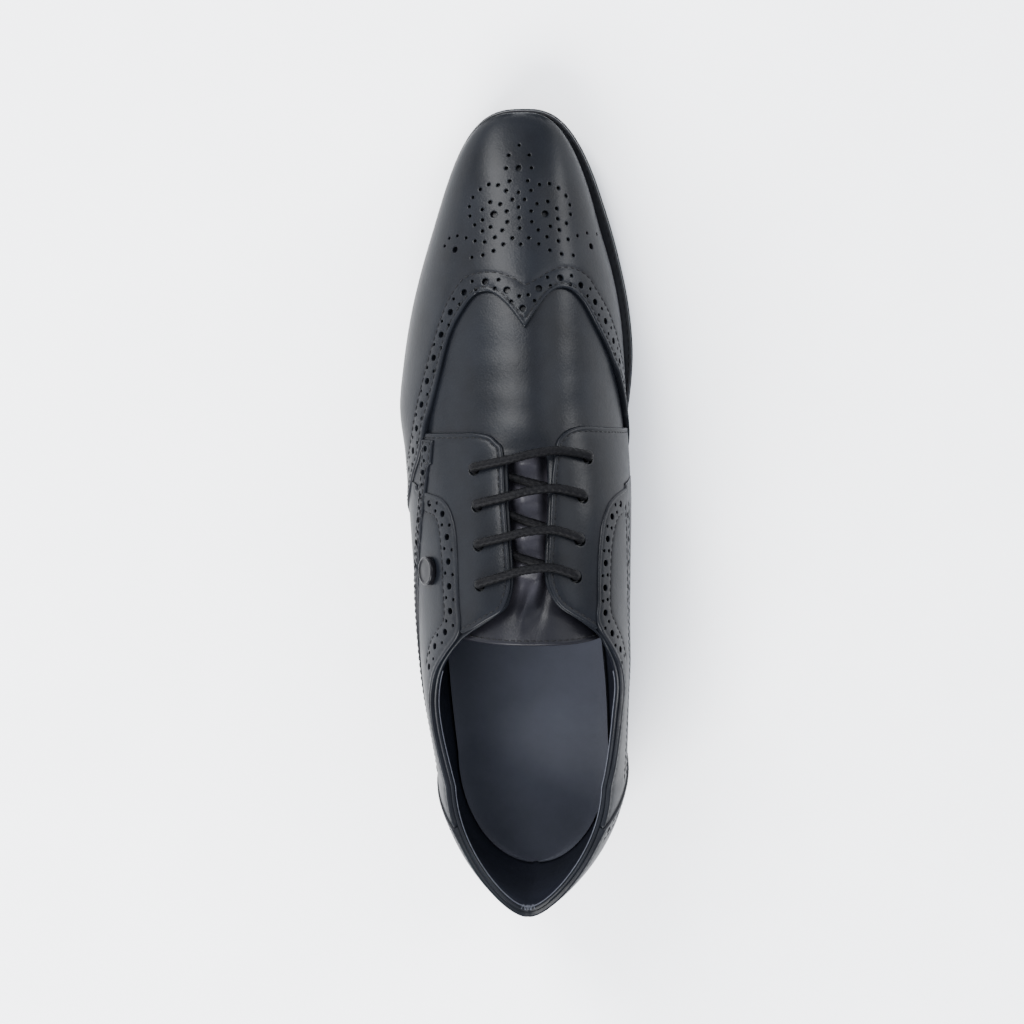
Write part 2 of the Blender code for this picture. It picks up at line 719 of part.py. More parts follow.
def build_tongue():
    """The tongue under the facings."""
    y = np.linspace(TONGUE[-1].y, TONGUE[0].y, TONGUE_ALONG + 1)
    rows = TONGUE[::-1]
    lateral = from_table(rows, "lateral", y)
    medial = from_table(rows, "medial", y)
    depth = from_table(rows, "depth", y)
    t = np.linspace(0, 1, TONGUE_ACROSS + 1)[None, :]
    v = lateral[:, None] + (medial - lateral)[:, None] * t
    outer = at(y[:, None], v, -depth[:, None])
    inner = at(y[:, None], v, -depth[:, None] - TONGUE_THICK)
    add_sheet("tongue", LEATHER, outer, inner)


def sole_outline(inset):
    """Lateral and medial edges of the sole, drawn in by an inset, from heel to toe."""
    heel = -np.linspace(1, 0, HEEL_STEPS + 1)[:-1] * math.pi / 2
    toe = np.linspace(1, 0, TOE_STEPS + 1)
    body_y = np.linspace(HEEL_Y, TOE_Y, SOLE_STEPS + 1)
    heel_y = HEEL_Y + (SOLE_HEEL_REACH - inset) * np.sin(heel)
    toe_y = TOE_Y + (SOLE_TOE_REACH - inset) * (1 - toe ** (1 / TOE_BLUNT))
    y = np.concatenate([heel_y, body_y, toe_y[1:]])
    width = np.concatenate([np.maximum(np.cos(heel), 0), np.ones(SOLE_STEPS + 1), toe[1:]])
    width[0] = 0.0
    inside = np.clip(y, HEEL_Y, TOE_Y)
    middle = np.interp(y, (HEEL_Y, TOE_Y), (SOLE_MIDLINE + 1, SOLE_MIDLINE - 1))
    lateral = middle + (from_table(SOLE_EDGE, "lateral", inside) + inset - middle) * width
    medial = middle + (from_table(SOLE_EDGE, "medial", inside) - inset - middle) * width
    return y, lateral, medial


def feather_outline(inset):
    """Lateral and medial edges of the upper's foot, drawn in by an inset, from heel to toe."""
    stations = np.concatenate(
        [np.linspace(-1, 0, HEEL_STEPS + 1)[:-1], np.linspace(0, 1, SOLE_STEPS + 1), np.linspace(1, 2, TOE_STEPS + 1)[1:]]
    )
    lateral = last(stations, -1.0, -inset)
    medial = last(stations, 1.0, -inset)
    return lateral[:, 1], lateral[:, 0], medial[:, 0]


def slab_points(outline, low, high):
    """Points of a slab by station: lateral low, medial low, medial high, lateral high."""
    y, lateral, medial = outline
    corners = ((lateral, low), (medial, low), (medial, high), (lateral, high))
    return np.stack([np.stack([x, y, level], -1) for x, level in corners], 1)


def add_slab(name, finish, points):
    """A closed slab from its four-cornered stations."""
    count = len(points)
    faces = []
    for i in range(count - 1):
        for a in range(4):
            b = (a + 1) % 4
            faces.append((4 * i + a, 4 * i + b, 4 * i + 4 + b, 4 * i + 4 + a))
    faces.append((0, 1, 2, 3))
    faces.append(tuple(4 * (count - 1) + a for a in range(4)))
    return add_solid(name, finish, points.reshape(-1, 3), faces)


def build_outsole():
    """The tread: flat under the ball, sprung at the toe and arched to the heel seat."""
    outline = sole_outline(0.0)
    low = tread_z(outline[0])
    add_slab("outsole", SOLE_RUBBER, slab_points(outline, low, low + OUTSOLE_THICK))


def build_heel():
    """The heel block under the seat, with a flat base and breast."""
    y, lateral, medial = sole_outline(HEEL_INSET)
    kept = y < HEEL_BREAST_Y - HEEL_INSET
    cut = [np.append(x[kept], np.interp(HEEL_BREAST_Y, y, x)) for x in (y, lateral, medial)]
    points = slab_points(cut, np.zeros(len(cut[0])), tread_z(cut[0]) - FIT_GAP)
    add_slab("heel", SOLE_RUBBER, points)


def build_welt():
    """The welt: a flat strip round the sole that carries the foot of the upper."""
    outer_y, outer_lateral, outer_medial = sole_outline(WELT_INSET)
    inner_y, inner_lateral, inner_medial = feather_outline(WALL + WELT_LAP)
    outer = np.concatenate(
        [np.stack([outer_lateral, outer_y], -1), np.stack([outer_medial, outer_y], -1)[-2:0:-1]]
    )
    inner = np.concatenate(
        [np.stack([inner_lateral, inner_y], -1), np.stack([inner_medial, inner_y], -1)[-2:0:-1]]
    )
    points = []
    for ring, lift in ((outer, 0.0), (outer, WELT_THICK), (inner, WELT_THICK), (inner, 0.0)):
        level = tread_z(ring[:, 1]) + OUTSOLE_THICK + FIT_GAP + lift
        points.append(np.column_stack([ring, level]))
    count = len(outer)
    faces = [
        (k * count + i, k * count + (i + 1) % count, (k + 1) % 4 * count + (i + 1) % count, (k + 1) % 4 * count + i)
        for k in range(4)
        for i in range(count)
    ]
    add_solid("welt", WELT_FINISH, np.concatenate(points), faces)


def build_insole():
    """The insole inside the welt, just clear of the upper's wall."""
    outline = feather_outline(WALL + WELT_LAP + FIT_GAP)
    low = tread_z(outline[0])
    add_slab("insole", SOCK, slab_points(outline, low + OUTSOLE_THICK + FIT_GAP, low + INSOLE_TOP))


def build_stud():
    """The plain round stud on the lateral foxing."""
    axis = normal_at(STUD.y, STUD.v)
    base = at(STUD.y, STUD.v) + axis * (OVERLAY_GAP + FOXING_THICK + FIT_GAP)
    profile = ((STUD_RADIUS, 0.0), (STUD_RADIUS, STUD_HEIGHT / 2), (STUD_CROWN, STUD_HEIGHT))
    add_turned("side_stud", STUD_FINISH, base, axis, profile, STUD_SIDES)


def main():
    """Builds every piece."""
    for leftover in list(bpy.data.objects):
        bpy.data.objects.remove(leftover)
    build_outsole()
    build_heel()
    build_welt()
    build_insole()
    build_upper()
    build_tongue()
    add_sheet("wing_cap", OVERLAY, wing_grid(OVERLAY_GAP + WING_THICK), wing_grid(OVERLAY_GAP), zipped=True)
    for name, ribs, holes in (
        ("facing_lateral", FACING_LATERAL, HOLES_LATERAL),
        ("facing_medial", FACING_MEDIAL, HOLES_MEDIAL),
    ):
        punch_holes(add_panel(name, ribs, FACING_ALONG, FACING_DOWN, FACING_THICK), holes)
    for name, front, side in (("foxing_lateral", FOXING_LATERAL, -1.0), ("foxing_medial", FOXING_MEDIAL, 1.0)):
        add_panel(name, foxing_ribs(front, side), FOXING_ALONG, FOXING_DOWN, FOXING_THICK)
    add_sheet("heel_counter", OVERLAY, counter_grid(OVERLAY_GAP + COUNTER_THICK), counter_grid(OVERLAY_GAP))
    build_laces()
    build_stud()


main()
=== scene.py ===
"""Dressing of the wing-tip brogue: leather, seams, lace, sole and studio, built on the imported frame.

Frame: X runs from the lateral side (-) to the medial side (+), Y from heel to toe, Z up from the floor.
Tables and sizes are in millimetres; meshes are written in metres.
"""

from __future__ import annotations

import logging
import math
from dataclasses import dataclass, field
from enum import Enum
from typing import Any, NamedTuple, Sequence

import bmesh
import bpy
import numpy as np
from mathutils import Matrix, Vector
from mathutils.geometry import delaunay_2d_cdt

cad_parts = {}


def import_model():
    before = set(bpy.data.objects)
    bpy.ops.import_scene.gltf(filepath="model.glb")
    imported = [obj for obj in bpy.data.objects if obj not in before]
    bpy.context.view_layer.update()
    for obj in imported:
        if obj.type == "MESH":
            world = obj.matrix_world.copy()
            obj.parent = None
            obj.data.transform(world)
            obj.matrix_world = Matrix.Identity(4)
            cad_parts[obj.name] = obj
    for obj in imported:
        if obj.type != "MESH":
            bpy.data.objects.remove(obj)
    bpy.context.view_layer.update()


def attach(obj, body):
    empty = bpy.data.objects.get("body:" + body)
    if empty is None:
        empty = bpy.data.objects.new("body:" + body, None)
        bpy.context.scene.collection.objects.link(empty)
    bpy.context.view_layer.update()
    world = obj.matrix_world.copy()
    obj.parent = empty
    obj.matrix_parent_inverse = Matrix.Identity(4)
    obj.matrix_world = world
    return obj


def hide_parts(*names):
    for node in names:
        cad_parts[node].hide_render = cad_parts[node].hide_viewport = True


LOG = logging.getLogger("brogue")
Array = np.ndarray
Faces = list[tuple[int, ...]]
Line = tuple[tuple[float, float], ...]
MM = 0.001
WELD = 0.004 * MM
# Flat points measured at a time against an outline.
BATCH = 1500
# Flat points closer than this, in millimetres, are on the same line.
TOUCH = 0.001
BODY = "root"
# The tables' zero lies on the toe axis; the part's origin is the middle of its base.
ORIGIN = np.array((-1.0, 0.4, 0.0))


class Side(Enum):
    """The two sides of the foot, by the sign of their position round a section."""

    LATERAL = -1.0
    MEDIAL = 1.0

    @property
    def word(self) -> str:
        """The side's name as the tables' columns spell it."""
        return self.name.lower()


def table(kind: type, *rows: tuple[Any, ...]) -> tuple[Any, ...]:
    """A table's rows, their columns named by the kind of row."""
    return tuple(kind(*row) for row in rows)


class Section(NamedTuple):
    """One section across the last: its widest line, feather edge, ridge and roundness of shoulder."""

    y: float
    lateral: float
    medial: float
    lateral_foot: float
    medial_foot: float
    wide_z: float
    ridge_x: float
    ridge_z: float
    lateral_power: float
    medial_power: float


SECTIONS = table(
    Section,
    (-101, -30.3, 40.7, -28.0, 37.2, 46, 5.0, 102.0, 2.10, 2.10),
    (-71, -34.4, 41.8, -31.0, 36.0, 44, 5.0, 107.0, 2.40, 3.00),
    (-58, -35.9, 42.4, -32.0, 34.8, 43, 5.6, 105.0, 2.25, 3.60),
    (-44, -37.3, 42.3, -33.0, 33.8, 42, 6.2, 101.0, 2.00, 3.20),
    (-18, -39.0, 42.7, -35.0, 33.0, 40, 7.2, 95.0, 1.95, 2.70),
    (4, -40.5, 43.0, -38.0, 34.6, 37, 7.3, 88.0, 1.90, 2.50),
    (22, -42.1, 42.3, -40.0, 37.0, 31, 7.0, 81.0, 1.90, 2.30),
    (40, -44.5, 40.9, -43.0, 39.0, 24, 6.6, 74.5, 1.90, 2.10),
    (56, -43.1, 40.2, -41.8, 38.8, 19, 6.2, 69.0, 1.95, 2.05),
    (74, -40.1, 38.7, -39.0, 37.4, 17, 5.6, 62.5, 2.00, 2.00),
    (92, -35.5, 35.3, -34.6, 34.2, 17, 4.8, 55.5, 2.05, 2.05),
    (108, -30.4, 30.9, -29.6, 30.0, 18, 3.8, 48.8, 2.10, 2.10),
    (119, -26.8, 28.1, -26.0, 27.2, 19, 3.0, 44.6, 2.15, 2.15),
)


class Height(NamedTuple):
    """A height over the floor at one position along the foot."""

    y: float
    z: float


TREAD = table(
    Height,
    (-154, 20.5), (-120, 20.2), (-88, 19.0), (-60, 14.2), (-30, 7.0), (0, 2.0), (22, 0.0), (50, 0.0),
    (78, 0.0), (105, 2.0), (130, 6.3), (154, 12.2),
)


class Edge(NamedTuple):
    """The two edges of an outline or opening at one position along the foot."""

    y: float
    lateral: float
    medial: float


SOLE_EDGE = table(
    Edge,
    (-101, -30.0, 39.2), (-71, -33.0, 37.8), (-44, -35.0, 35.8), (-18, -37.2, 35.2), (4, -40.2, 36.8),
    (22, -44.6, 41.0), (40, -47.4, 44.0), (56, -46.0, 45.2), (74, -42.6, 43.9), (92, -37.8, 40.6),
    (108, -32.9, 36.6), (119, -29.3, 33.3),
)
COLLAR = table(
    Height,
    (-151.4, 89.0), (-148, 88.3), (-141, 86.0), (-131, 83.0), (-119, 80.0), (-108, 78.3), (-92, 77.2),
    (-74, 77.8), (-60, 80.0), (-50, 83.4), (-44, 86.4),
)
THROAT = table(
    Edge,
    (-38.7, -0.272, 0.345), (-34.4, -0.210, 0.265), (-30.5, -0.150, 0.190), (-27.0, -0.100, 0.120),
    (-22.2, -0.075, 0.076), (-17.0, -0.065, 0.056), (-10.4, -0.070, 0.055), (3.5, -0.083, 0.068),
    (16.9, -0.088, 0.083), (24.0, -0.088, 0.086), (26.6, -0.080, 0.085), (28.4, -0.050, 0.072),
    (29.6, 0.0, 0.0),
)


def column(rows: Sequence[Any], name: str) -> Array:
    """One named column of a table as an array."""
    return np.array([getattr(row, name) for row in rows], float)


def smooth(x: Array, knots: Array, values: Array) -> Array:
    """Monotone cubic through a table's points, held level beyond its ends.

    Args:
        x: Where to read the table.
        knots: The table's key column, rising.
        values: The column that is read.

    Returns:
        The column's value at each x.
    """
    step = np.diff(knots)
    slope = np.diff(values) / step
    tangent = np.zeros(len(knots))
    weighted = (slope[:-1] * step[1:] + slope[1:] * step[:-1]) / (step[1:] + step[:-1])
    tangent[1:-1] = np.where(slope[:-1] * slope[1:] > 0, weighted, 0.0)
    tangent[0] = slope[0]
    tangent[-1] = slope[-1]
    x = np.clip(x, knots[0], knots[-1])
    i = np.clip(np.searchsorted(knots, x) - 1, 0, len(knots) - 2)
    t = (x - knots[i]) / step[i]
    rise = t * t * (3 - 2 * t)
    return (
        values[i] * (1 - rise)
        + values[i + 1] * rise
        + step[i] * t * (1 - t) * (tangent[i] * (1 - t) - tangent[i + 1] * t)
    )


def from_table(rows: Sequence[Any], name: str, x: Any, key: str = "y") -> Array:
    """A table's column read at x along its key column."""
    return smooth(np.asarray(x, float), column(rows, key), column(rows, name))


def unit(vectors: Array) -> Array:
    """Vectors scaled to length one along the last axis."""
    return vectors / np.maximum(np.linalg.norm(vectors, axis=-1, keepdims=True), 1e-12)


def spline(points: Any, pitch: float) -> Array:
    """A smooth line through points, resampled at an even pitch.

    Args:
        points: Points in two or three dimensions, in order.
        pitch: Wanted distance between neighbours, in millimetres.

    Returns:
        The resampled points.
    """
    points = np.asarray(points, float)
    padded = np.concatenate([2 * points[:1] - points[1:2], points, 2 * points[-1:] - points[-2:-1]])
    t = np.linspace(0, 1, 24, endpoint=False)[:, None]
    pieces = []
    for a, b, c, d in zip(padded[:-3], padded[1:-2], padded[2:-1], padded[3:]):
        pieces.append(
            0.5 * (2 * b + (c - a) * t + (2 * a - 5 * b + 4 * c - d) * t**2 + (3 * b - a - 3 * c + d) * t**3)
        )
    return even(np.concatenate(pieces + [points[-1:]]), pitch)


def run_of(points: Array) -> Array:
    """Length along a polyline at each of its points."""
    return np.concatenate([[0.0], np.cumsum(np.linalg.norm(np.diff(points, axis=0), axis=1))])


def left_of(heading: Array) -> Array:
    """Flat directions square to headings, on their left."""
    return np.stack([-heading[..., 1], heading[..., 0]], -1)


def even(points: Array, pitch: float) -> Array:
    """A polyline resampled at an even pitch, its two ends kept."""
    length = run_of(points)
    count = max(2, int(round(length[-1] / pitch)) + 1)
    wanted = np.linspace(0, length[-1], count)
    return np.stack([np.interp(wanted, length, points[:, k]) for k in range(points.shape[1])], -1)


@dataclass
class Last:
    """The form that the upper is pulled over, as a function of station, girth position and offset."""

    heel_y: float = -101.0
    heel_reach: float = 50.4
    heel_point: float = 1.3
    seat_round: float = 0.8
    toe_y: float = 119.0
    toe_reach: float = 32.0
    toe_blunt: float = 0.35
    toe_slope: float = -0.38
    toe_lift: float = 7.0
    toe_lift_power: float = 1.5
    toe_drop_power: float = 3.0
    wide_v: float = 0.72
    waist_z: float = 46.0
    lean_top: float = 4.2
    lean_top_span: float = 42.0
    lean_foot: float = 2.6
    lean_foot_span: float = 20.0
    stack: float = 7.3
    collar_front_y: float = -44.0
    throat_front_y: float = 29.6
    bisections: int = 40
    run_stations: Array = field(init=False)
    run_lengths: Array = field(init=False)

    def __post_init__(self) -> None:
        """Measures the length along the upper from the back of the heel to each station."""
        middle_of_side = 0.5
        self.run_stations = np.linspace(-1, 2, 1801)
        lengths = 0.0
        for side in Side:
            line = self.point(self.run_stations, side.value * middle_of_side)
            lengths = lengths + np.linalg.norm(np.diff(line, axis=0), axis=1) / len(Side)
        self.run_lengths = np.concatenate([[0.0], np.cumsum(lengths)])

    def station(self, s: Any, offset: Any) -> tuple[Array, Array]:
        """Position along the foot and share of the full width: s < 0 rounds the heel, s > 1 the toe."""
        s = np.asarray(s, float)
        turn = np.clip(-s, 0, 1) * math.pi / 2
        share = np.clip(2 - s, 0, 1)
        body_y = self.heel_y + (self.toe_y - self.heel_y) * s
        heel_y = self.heel_y - (self.heel_reach + offset) * np.sin(turn)
        toe_y = self.toe_y + (self.toe_reach + offset) * (1 - share ** (1 / self.toe_blunt))
        y = np.where(s < 0, heel_y, np.where(s > 1, toe_y, body_y))
        heel_width = np.maximum(np.cos(turn), 0) ** self.heel_point
        width = np.where(s < 0, heel_width, np.where(s > 1, share, 1.0))
        return y, np.where(s <= -1, 0.0, width)

    def station_of(self, y: Any) -> Array:
        """The station at a position along the foot."""
        y = np.asarray(y, float)
        turn = np.arcsin(np.clip((self.heel_y - y) / self.heel_reach, 0, 1))
        share = np.clip(1 - (y - self.toe_y) / self.toe_reach, 0, 1) ** self.toe_blunt
        body = (y - self.heel_y) / (self.toe_y - self.heel_y)
        return np.where(y < self.heel_y, -turn * 2 / math.pi, np.where(y > self.toe_y, 2 - share, body))

    def point(self, s: Any, v: Any, offset: Any = 0.0) -> Array:
        """Points on the last.

        Args:
            s: Station along the foot, -1 at the heel's back to 2 at the toe's tip.
            v: Position round the section, -1 at the lateral feather edge to +1 at the medial one.
            offset: Growth outwards from the last's face, in millimetres.

        Returns:
            Points in millimetres.
        """
        s, v, offset = np.broadcast_arrays(*(np.asarray(a, float) for a in (s, v, offset)))
        y, width = self.station(s, offset)
        inside = np.clip(y, self.heel_y, self.toe_y)
        row = {name: from_table(SECTIONS, name, inside) for name in Section._fields[1:]}
        lateral = v < 0
        side = np.where(lateral, -1.0, 1.0)
        toe = np.where(s > 1, np.clip((y - self.toe_y) / (self.toe_reach + offset), 0, 1), 0.0)
        wide_z = row["wide_z"] + self.toe_lift * toe**self.toe_lift_power
        ridge_z = row["ridge_z"] + offset + np.where(s > 1, self.toe_slope * (y - self.toe_y), 0.0)
        ridge_z = wide_z + (ridge_z - wide_z) * np.sqrt(np.maximum(1 - toe**self.toe_drop_power, 0))
        wide = np.where(lateral, row["ridge_x"] - row["lateral"], row["medial"] - row["ridge_x"])
        foot = np.where(lateral, row["ridge_x"] - row["lateral_foot"], row["medial_foot"] - row["ridge_x"])
        wide = (wide + offset) * width
        foot = (foot + offset) * np.where(s < 0, width**self.seat_round, width)
        power = 2 / np.where(lateral, row["lateral_power"], row["medial_power"])
        turn = np.clip(np.abs(v) / self.wide_v, 0, 1) * math.pi / 2
        tuck = np.clip((np.abs(v) - self.wide_v) / (1 - self.wide_v), 0, 1)
        low = tuck > 0
        out = np.where(low, wide - (wide - foot) * tuck**2, wide * np.sin(turn) ** power)
        up = wide_z + (ridge_z - wide_z) * np.maximum(np.cos(turn), 0) ** power
        z = np.where(low, wide_z - (wide_z - from_table(TREAD, "z", y) - self.stack) * tuck, up)
        back = np.clip(-s, 0, 1)
        lean = self.lean_top * (np.maximum(z - self.waist_z, 0) / self.lean_top_span) ** 2
        lean = lean + self.lean_foot * (np.maximum(self.waist_z - z, 0) / self.lean_foot_span) ** 2
        return np.stack([row["ridge_x"] + side * out, y + back * lean, z], -1)

    def height_line(self, y: Array, side: Side, z: Any) -> Array:
        """Where a section reaches a height, as a position round the section."""
        s = self.station_of(y)
        near = np.zeros_like(s)
        far = np.full_like(s, self.wide_v)
        for _ in range(self.bisections):
            middle = (near + far) / 2
            above = self.point(s, side.value * middle)[..., 2] > z
            near = np.where(above, middle, near)
            far = np.where(above, far, middle)
        return side.value * (near + far) / 2

    def opening(self, y: Any, side: Side) -> Array:
        """Edge of the collar and throat opening, as a position round the section."""
        y = np.asarray(y, float)
        collar_y = np.minimum(y, self.collar_front_y)
        collar = self.height_line(collar_y, side, from_table(COLLAR, "z", collar_y))
        front = self.height_line(np.array(self.collar_front_y), side, COLLAR[-1].z)
        knots = np.append(self.collar_front_y, column(THROAT, "y"))
        throat = smooth(y, knots, np.append(front, column(THROAT, side.word)))
        return np.where(y < self.collar_front_y, collar, throat)


LAST = Last()


@dataclass(frozen=True)
class Chart:
    """A flat drawing board over the last: points are (length along the upper, girth), near millimetres."""

    girth: float = 90.0
    wraps_heel: bool = False

    def flat(self, y: Any, v: Any) -> Array:
        """Flat points of positions along the foot and round the section."""
        y, v = np.broadcast_arrays(np.asarray(y, float), np.asarray(v, float))
        return self.flat_station(LAST.station_of(y), v)

    def flat_station(self, s: Any, v: Any) -> Array:
        """Flat points of stations and positions round the section."""
        s, v = np.broadcast_arrays(np.asarray(s, float), np.asarray(v, float))
        run = np.interp(s, LAST.run_stations, LAST.run_lengths)
        if self.wraps_heel:
            return np.stack([np.sign(v) * run, np.abs(v) * self.girth], -1)
        return np.stack([run, v * self.girth], -1)

    def place(self, flat: Array, offset: Any = 0.0) -> Array:
        """Points on the last of flat points, grown outwards by an offset."""
        run = np.abs(flat[..., 0]) if self.wraps_heel else flat[..., 0]
        s = np.interp(run, LAST.run_lengths, LAST.run_stations)
        v = flat[..., 1] / self.girth
        if self.wraps_heel:
            v = np.where(flat[..., 0] < 0, -v, v)
        return LAST.point(s, v, offset)

    def axes(self, flat: Array, offset: Any = 0.0) -> tuple[Array, Array, Array]:
        """The surface's two flat directions and its outward normal at flat points, in millimetres a step."""
        step = 0.05
        along = np.array((step, 0.0))
        across = np.array((0.0, step))
        first = (self.place(flat + along, offset) - self.place(flat - along, offset)) / (2 * step)
        second = (self.place(flat + across, offset) - self.place(flat - across, offset)) / (2 * step)
        normal = unit(np.cross(first, second))
        out = self.place(flat, np.asarray(offset) + 1.0) - self.place(flat, offset)
        flip = np.sum(normal * out, -1, keepdims=True) < 0
        return first, second, np.where(flip, -normal, normal)

    def ring(self, centre: Array, radius: float, sides: int) -> Array:
        """Flat points of a circle that is round on the last itself."""
        first, second, _ = self.axes(centre)
        length = np.linalg.norm(first)
        heading = first / length
        skew = second @ heading
        depth = np.linalg.norm(second - skew * heading)
        angle = np.linspace(0, 2 * math.pi, sides, endpoint=False)
        across = radius * np.sin(angle) / depth
        along = (radius * np.cos(angle) - skew * across) / length
        return centre + np.stack([along, across], -1)


SIDES = Chart()
HEEL = Chart(wraps_heel=True)


def linear(colour: str) -> tuple[float, float, float, float]:
    """An sRGB hex colour as linear red, green, blue and alpha."""
    parts = [int(colour[k : k + 2], 16) / 255 for k in (1, 3, 5)]
    red, green, blue = (p / 12.92 if p <= 0.04045 else ((p + 0.055) / 1.055) ** 2.4 for p in parts)
    return red, green, blue, 1.0


def per_metre(size: float) -> float:
    """Texture scale that repeats once in a size given in millimetres."""
    return 1.0 / (size * MM)


def add_node(
    tree: Any, kind: str, inputs: dict | None = None, links: dict | None = None, **settings: Any
) -> Any:
    """Adds a shader node.

    Args:
        tree: The material's node tree.
        kind: Blender's name of the node.
        inputs: Socket values by socket name.
        links: Output sockets that feed this node, by its socket name.
        **settings: The node's own properties.

    Returns:
        The node.
    """
    made = tree.nodes.new(kind)
    for name, value in settings.items():
        setattr(made, name, value)
    for name, value in (inputs or {}).items():
        made.inputs[name].default_value = value
    for name, source in (links or {}).items():
        tree.links.new(source, made.inputs[name])
    return made


@dataclass(frozen=True)
class Finish:
    """A surface finish: a named material whose colour wanders between two shades."""

    name: str
    deep: str
    pale: str

    def material(self) -> Any:
        """Builds the material, or gives the one built before."""
        found = bpy.data.materials.get(self.name)
        if found:
            return found
        material = bpy.data.materials.new(self.name)
        material.use_nodes = True
        tree = material.node_tree
        place = add_node(tree, "ShaderNodeTexCoord").outputs["Object"]
        self.dress(tree, tree.nodes["Principled BSDF"], place)
        return material

    def dress(self, tree: Any, shader: Any, place: Any) -> None:
        """Sets the shader and adds the nodes of this kind of finish."""
        raise NotImplementedError

    def mottled(self, tree: Any, place: Any, size: float, detail: float) -> Any:
        """A colour socket, clouded between the two shades at a size in millimetres."""
        settings = {"Scale": per_metre(size), "Detail": detail, "Roughness": 0.6}
        cloud = add_node(tree, "ShaderNodeTexNoise", settings, {"Vector": place})
        tint = add_node(tree, "ShaderNodeValToRGB", links={"Fac": cloud.outputs["Fac"]})
        for stop, (share, shade) in zip(tint.color_ramp.elements, ((0.3, self.deep), (0.7, self.pale))):
            stop.position = share
            stop.color = linear(shade)
        return tint.outputs["Color"]

    def bumped(self, tree: Any, depth: float, **links: Any) -> Any:
        """A normal socket with a relief of a depth in millimetres."""
        settings = {"Strength": 1.0, "Distance": depth * MM}
        return add_node(tree, "ShaderNodeBump", settings, links).outputs["Normal"]


@dataclass(frozen=True)
class Leather(Finish):
    """Aniline-dyed calf, plated and polished: fine closed grain, faint clouding and a soft waxed gloss."""

    deep: str = "#07080b"
    pale: str = "#0d0f13"
    roughness: tuple[float, float] = (0.3, 0.42)
    cloud: float = 22.0
    polish: float = 9.0
    grain: float = 0.8
    grain_depth: float = 0.022
    crease: float = 7.0
    crease_depth: float = 0.08
    specular: float = 0.003
    coat: float = 0.21
    coat_roughness: float = 0.34
    # Painted light: a paler shade mixed in towards the toe over a run along the foot, in millimetres; none if
    # empty.
    painted_light: str = ""
    painted_light_run: tuple[float, float] = (-27.0, -12.0)

    def dress(self, tree: Any, shader: Any, place: Any) -> None:
        """Dye, painted light, polish, grain and creases under a film of wax."""
        shader.inputs["IOR"].default_value = 1.5
        shader.inputs["Specular IOR Level"].default_value = self.specular
        shader.inputs["Coat Weight"].default_value = self.coat
        shader.inputs["Coat Roughness"].default_value = self.coat_roughness
        # Dye takes unevenly over a hide, in clouds a finger wide.
        colour = self.mottled(tree, place, self.cloud, 4.0)
        if self.painted_light:
            # Painted light: the colour pales forward of a line across the shoe, standing in for the light on
            # the tongue between the laces.
            along = add_node(tree, "ShaderNodeSeparateXYZ", links={"Vector": place}).outputs["Y"]
            rear, front = (y * MM for y in self.painted_light_run)
            fade = {"From Min": rear, "From Max": front}
            painted_light_ramp = add_node(tree, "ShaderNodeMapRange", fade, {"Value": along})
            mixed = {"Fac": painted_light_ramp.outputs["Result"], "Color1": colour}
            colour = add_node(tree, "ShaderNodeMixRGB", {"Color2": linear(self.painted_light)}, mixed).outputs["Color"]
        tree.links.new(colour, shader.inputs["Base Color"])
        # Polish lies thicker in places, so the gloss breaks up softly.
        settings = {"Scale": per_metre(self.polish), "Detail": 5.0, "Roughness": 0.65}
        polish = add_node(tree, "ShaderNodeTexNoise", settings, {"Vector": place}).outputs["Fac"]
        low, high = self.roughness
        spread = {"From Min": 0.3, "From Max": 0.7, "To Min": low, "To Max": high}
        gloss = add_node(tree, "ShaderNodeMapRange", spread, {"Value": polish})
        tree.links.new(gloss.outputs["Result"], shader.inputs["Roughness"])
        # Closed calf grain is near 0.3 mm; it is drawn coarser so that it shows.
        settings = {"Scale": per_metre(self.grain), "Randomness": 1.0}
        grain = add_node(tree, "ShaderNodeTexVoronoi", settings, {"Vector": place}).outputs["Distance"]
        settings = {"Scale": per_metre(self.crease), "Detail": 3.0, "Roughness": 0.55, "Distortion": 0.6}
        crease = add_node(tree, "ShaderNodeTexNoise", settings, {"Vector": place}).outputs["Fac"]
        fine = self.bumped(tree, self.grain_depth, Height=grain)
        relief = self.bumped(tree, self.crease_depth, Height=crease, Normal=fine)
        # The wax film follows the grain, so base and coat share one relief.
        for socket in ("Normal", "Coat Normal"):
            tree.links.new(relief, shader.inputs[socket])


@dataclass(frozen=True)
class Matter(Finish):
    """A plainer finish with mottled colour and a fine bumped surface: rubber, thread, sock or floor."""

    roughness: float
    mottle: float
    bump: float
    bump_depth: float
    coat: float = 0.0
    specular: float = 0.13

    def dress(self, tree: Any, shader: Any, place: Any) -> None:
        """Mottled colour over one fine relief."""
        shader.inputs["Roughness"].default_value = self.roughness
        shader.inputs["Coat Weight"].default_value = self.coat
        shader.inputs["Specular IOR Level"].default_value = self.specular
        tree.links.new(self.mottled(tree, place, self.mottle, 6.0), shader.inputs["Base Color"])
        settings = {"Scale": per_metre(self.bump), "Detail": 3.0}
        fine = add_node(tree, "ShaderNodeTexNoise", settings, {"Vector": place}).outputs["Fac"]
        tree.links.new(self.bumped(tree, self.bump_depth, Height=fine), shader.inputs["Normal"])


# Polished calf of the vamp and quarters, and the slightly crisper overlays cut from the same hide.
VAMP_CALF = Leather("calf_leather_lasted_polished")
OVERLAY_CALF = Leather("calf_leather_cut_polished", roughness=(0.29, 0.4))
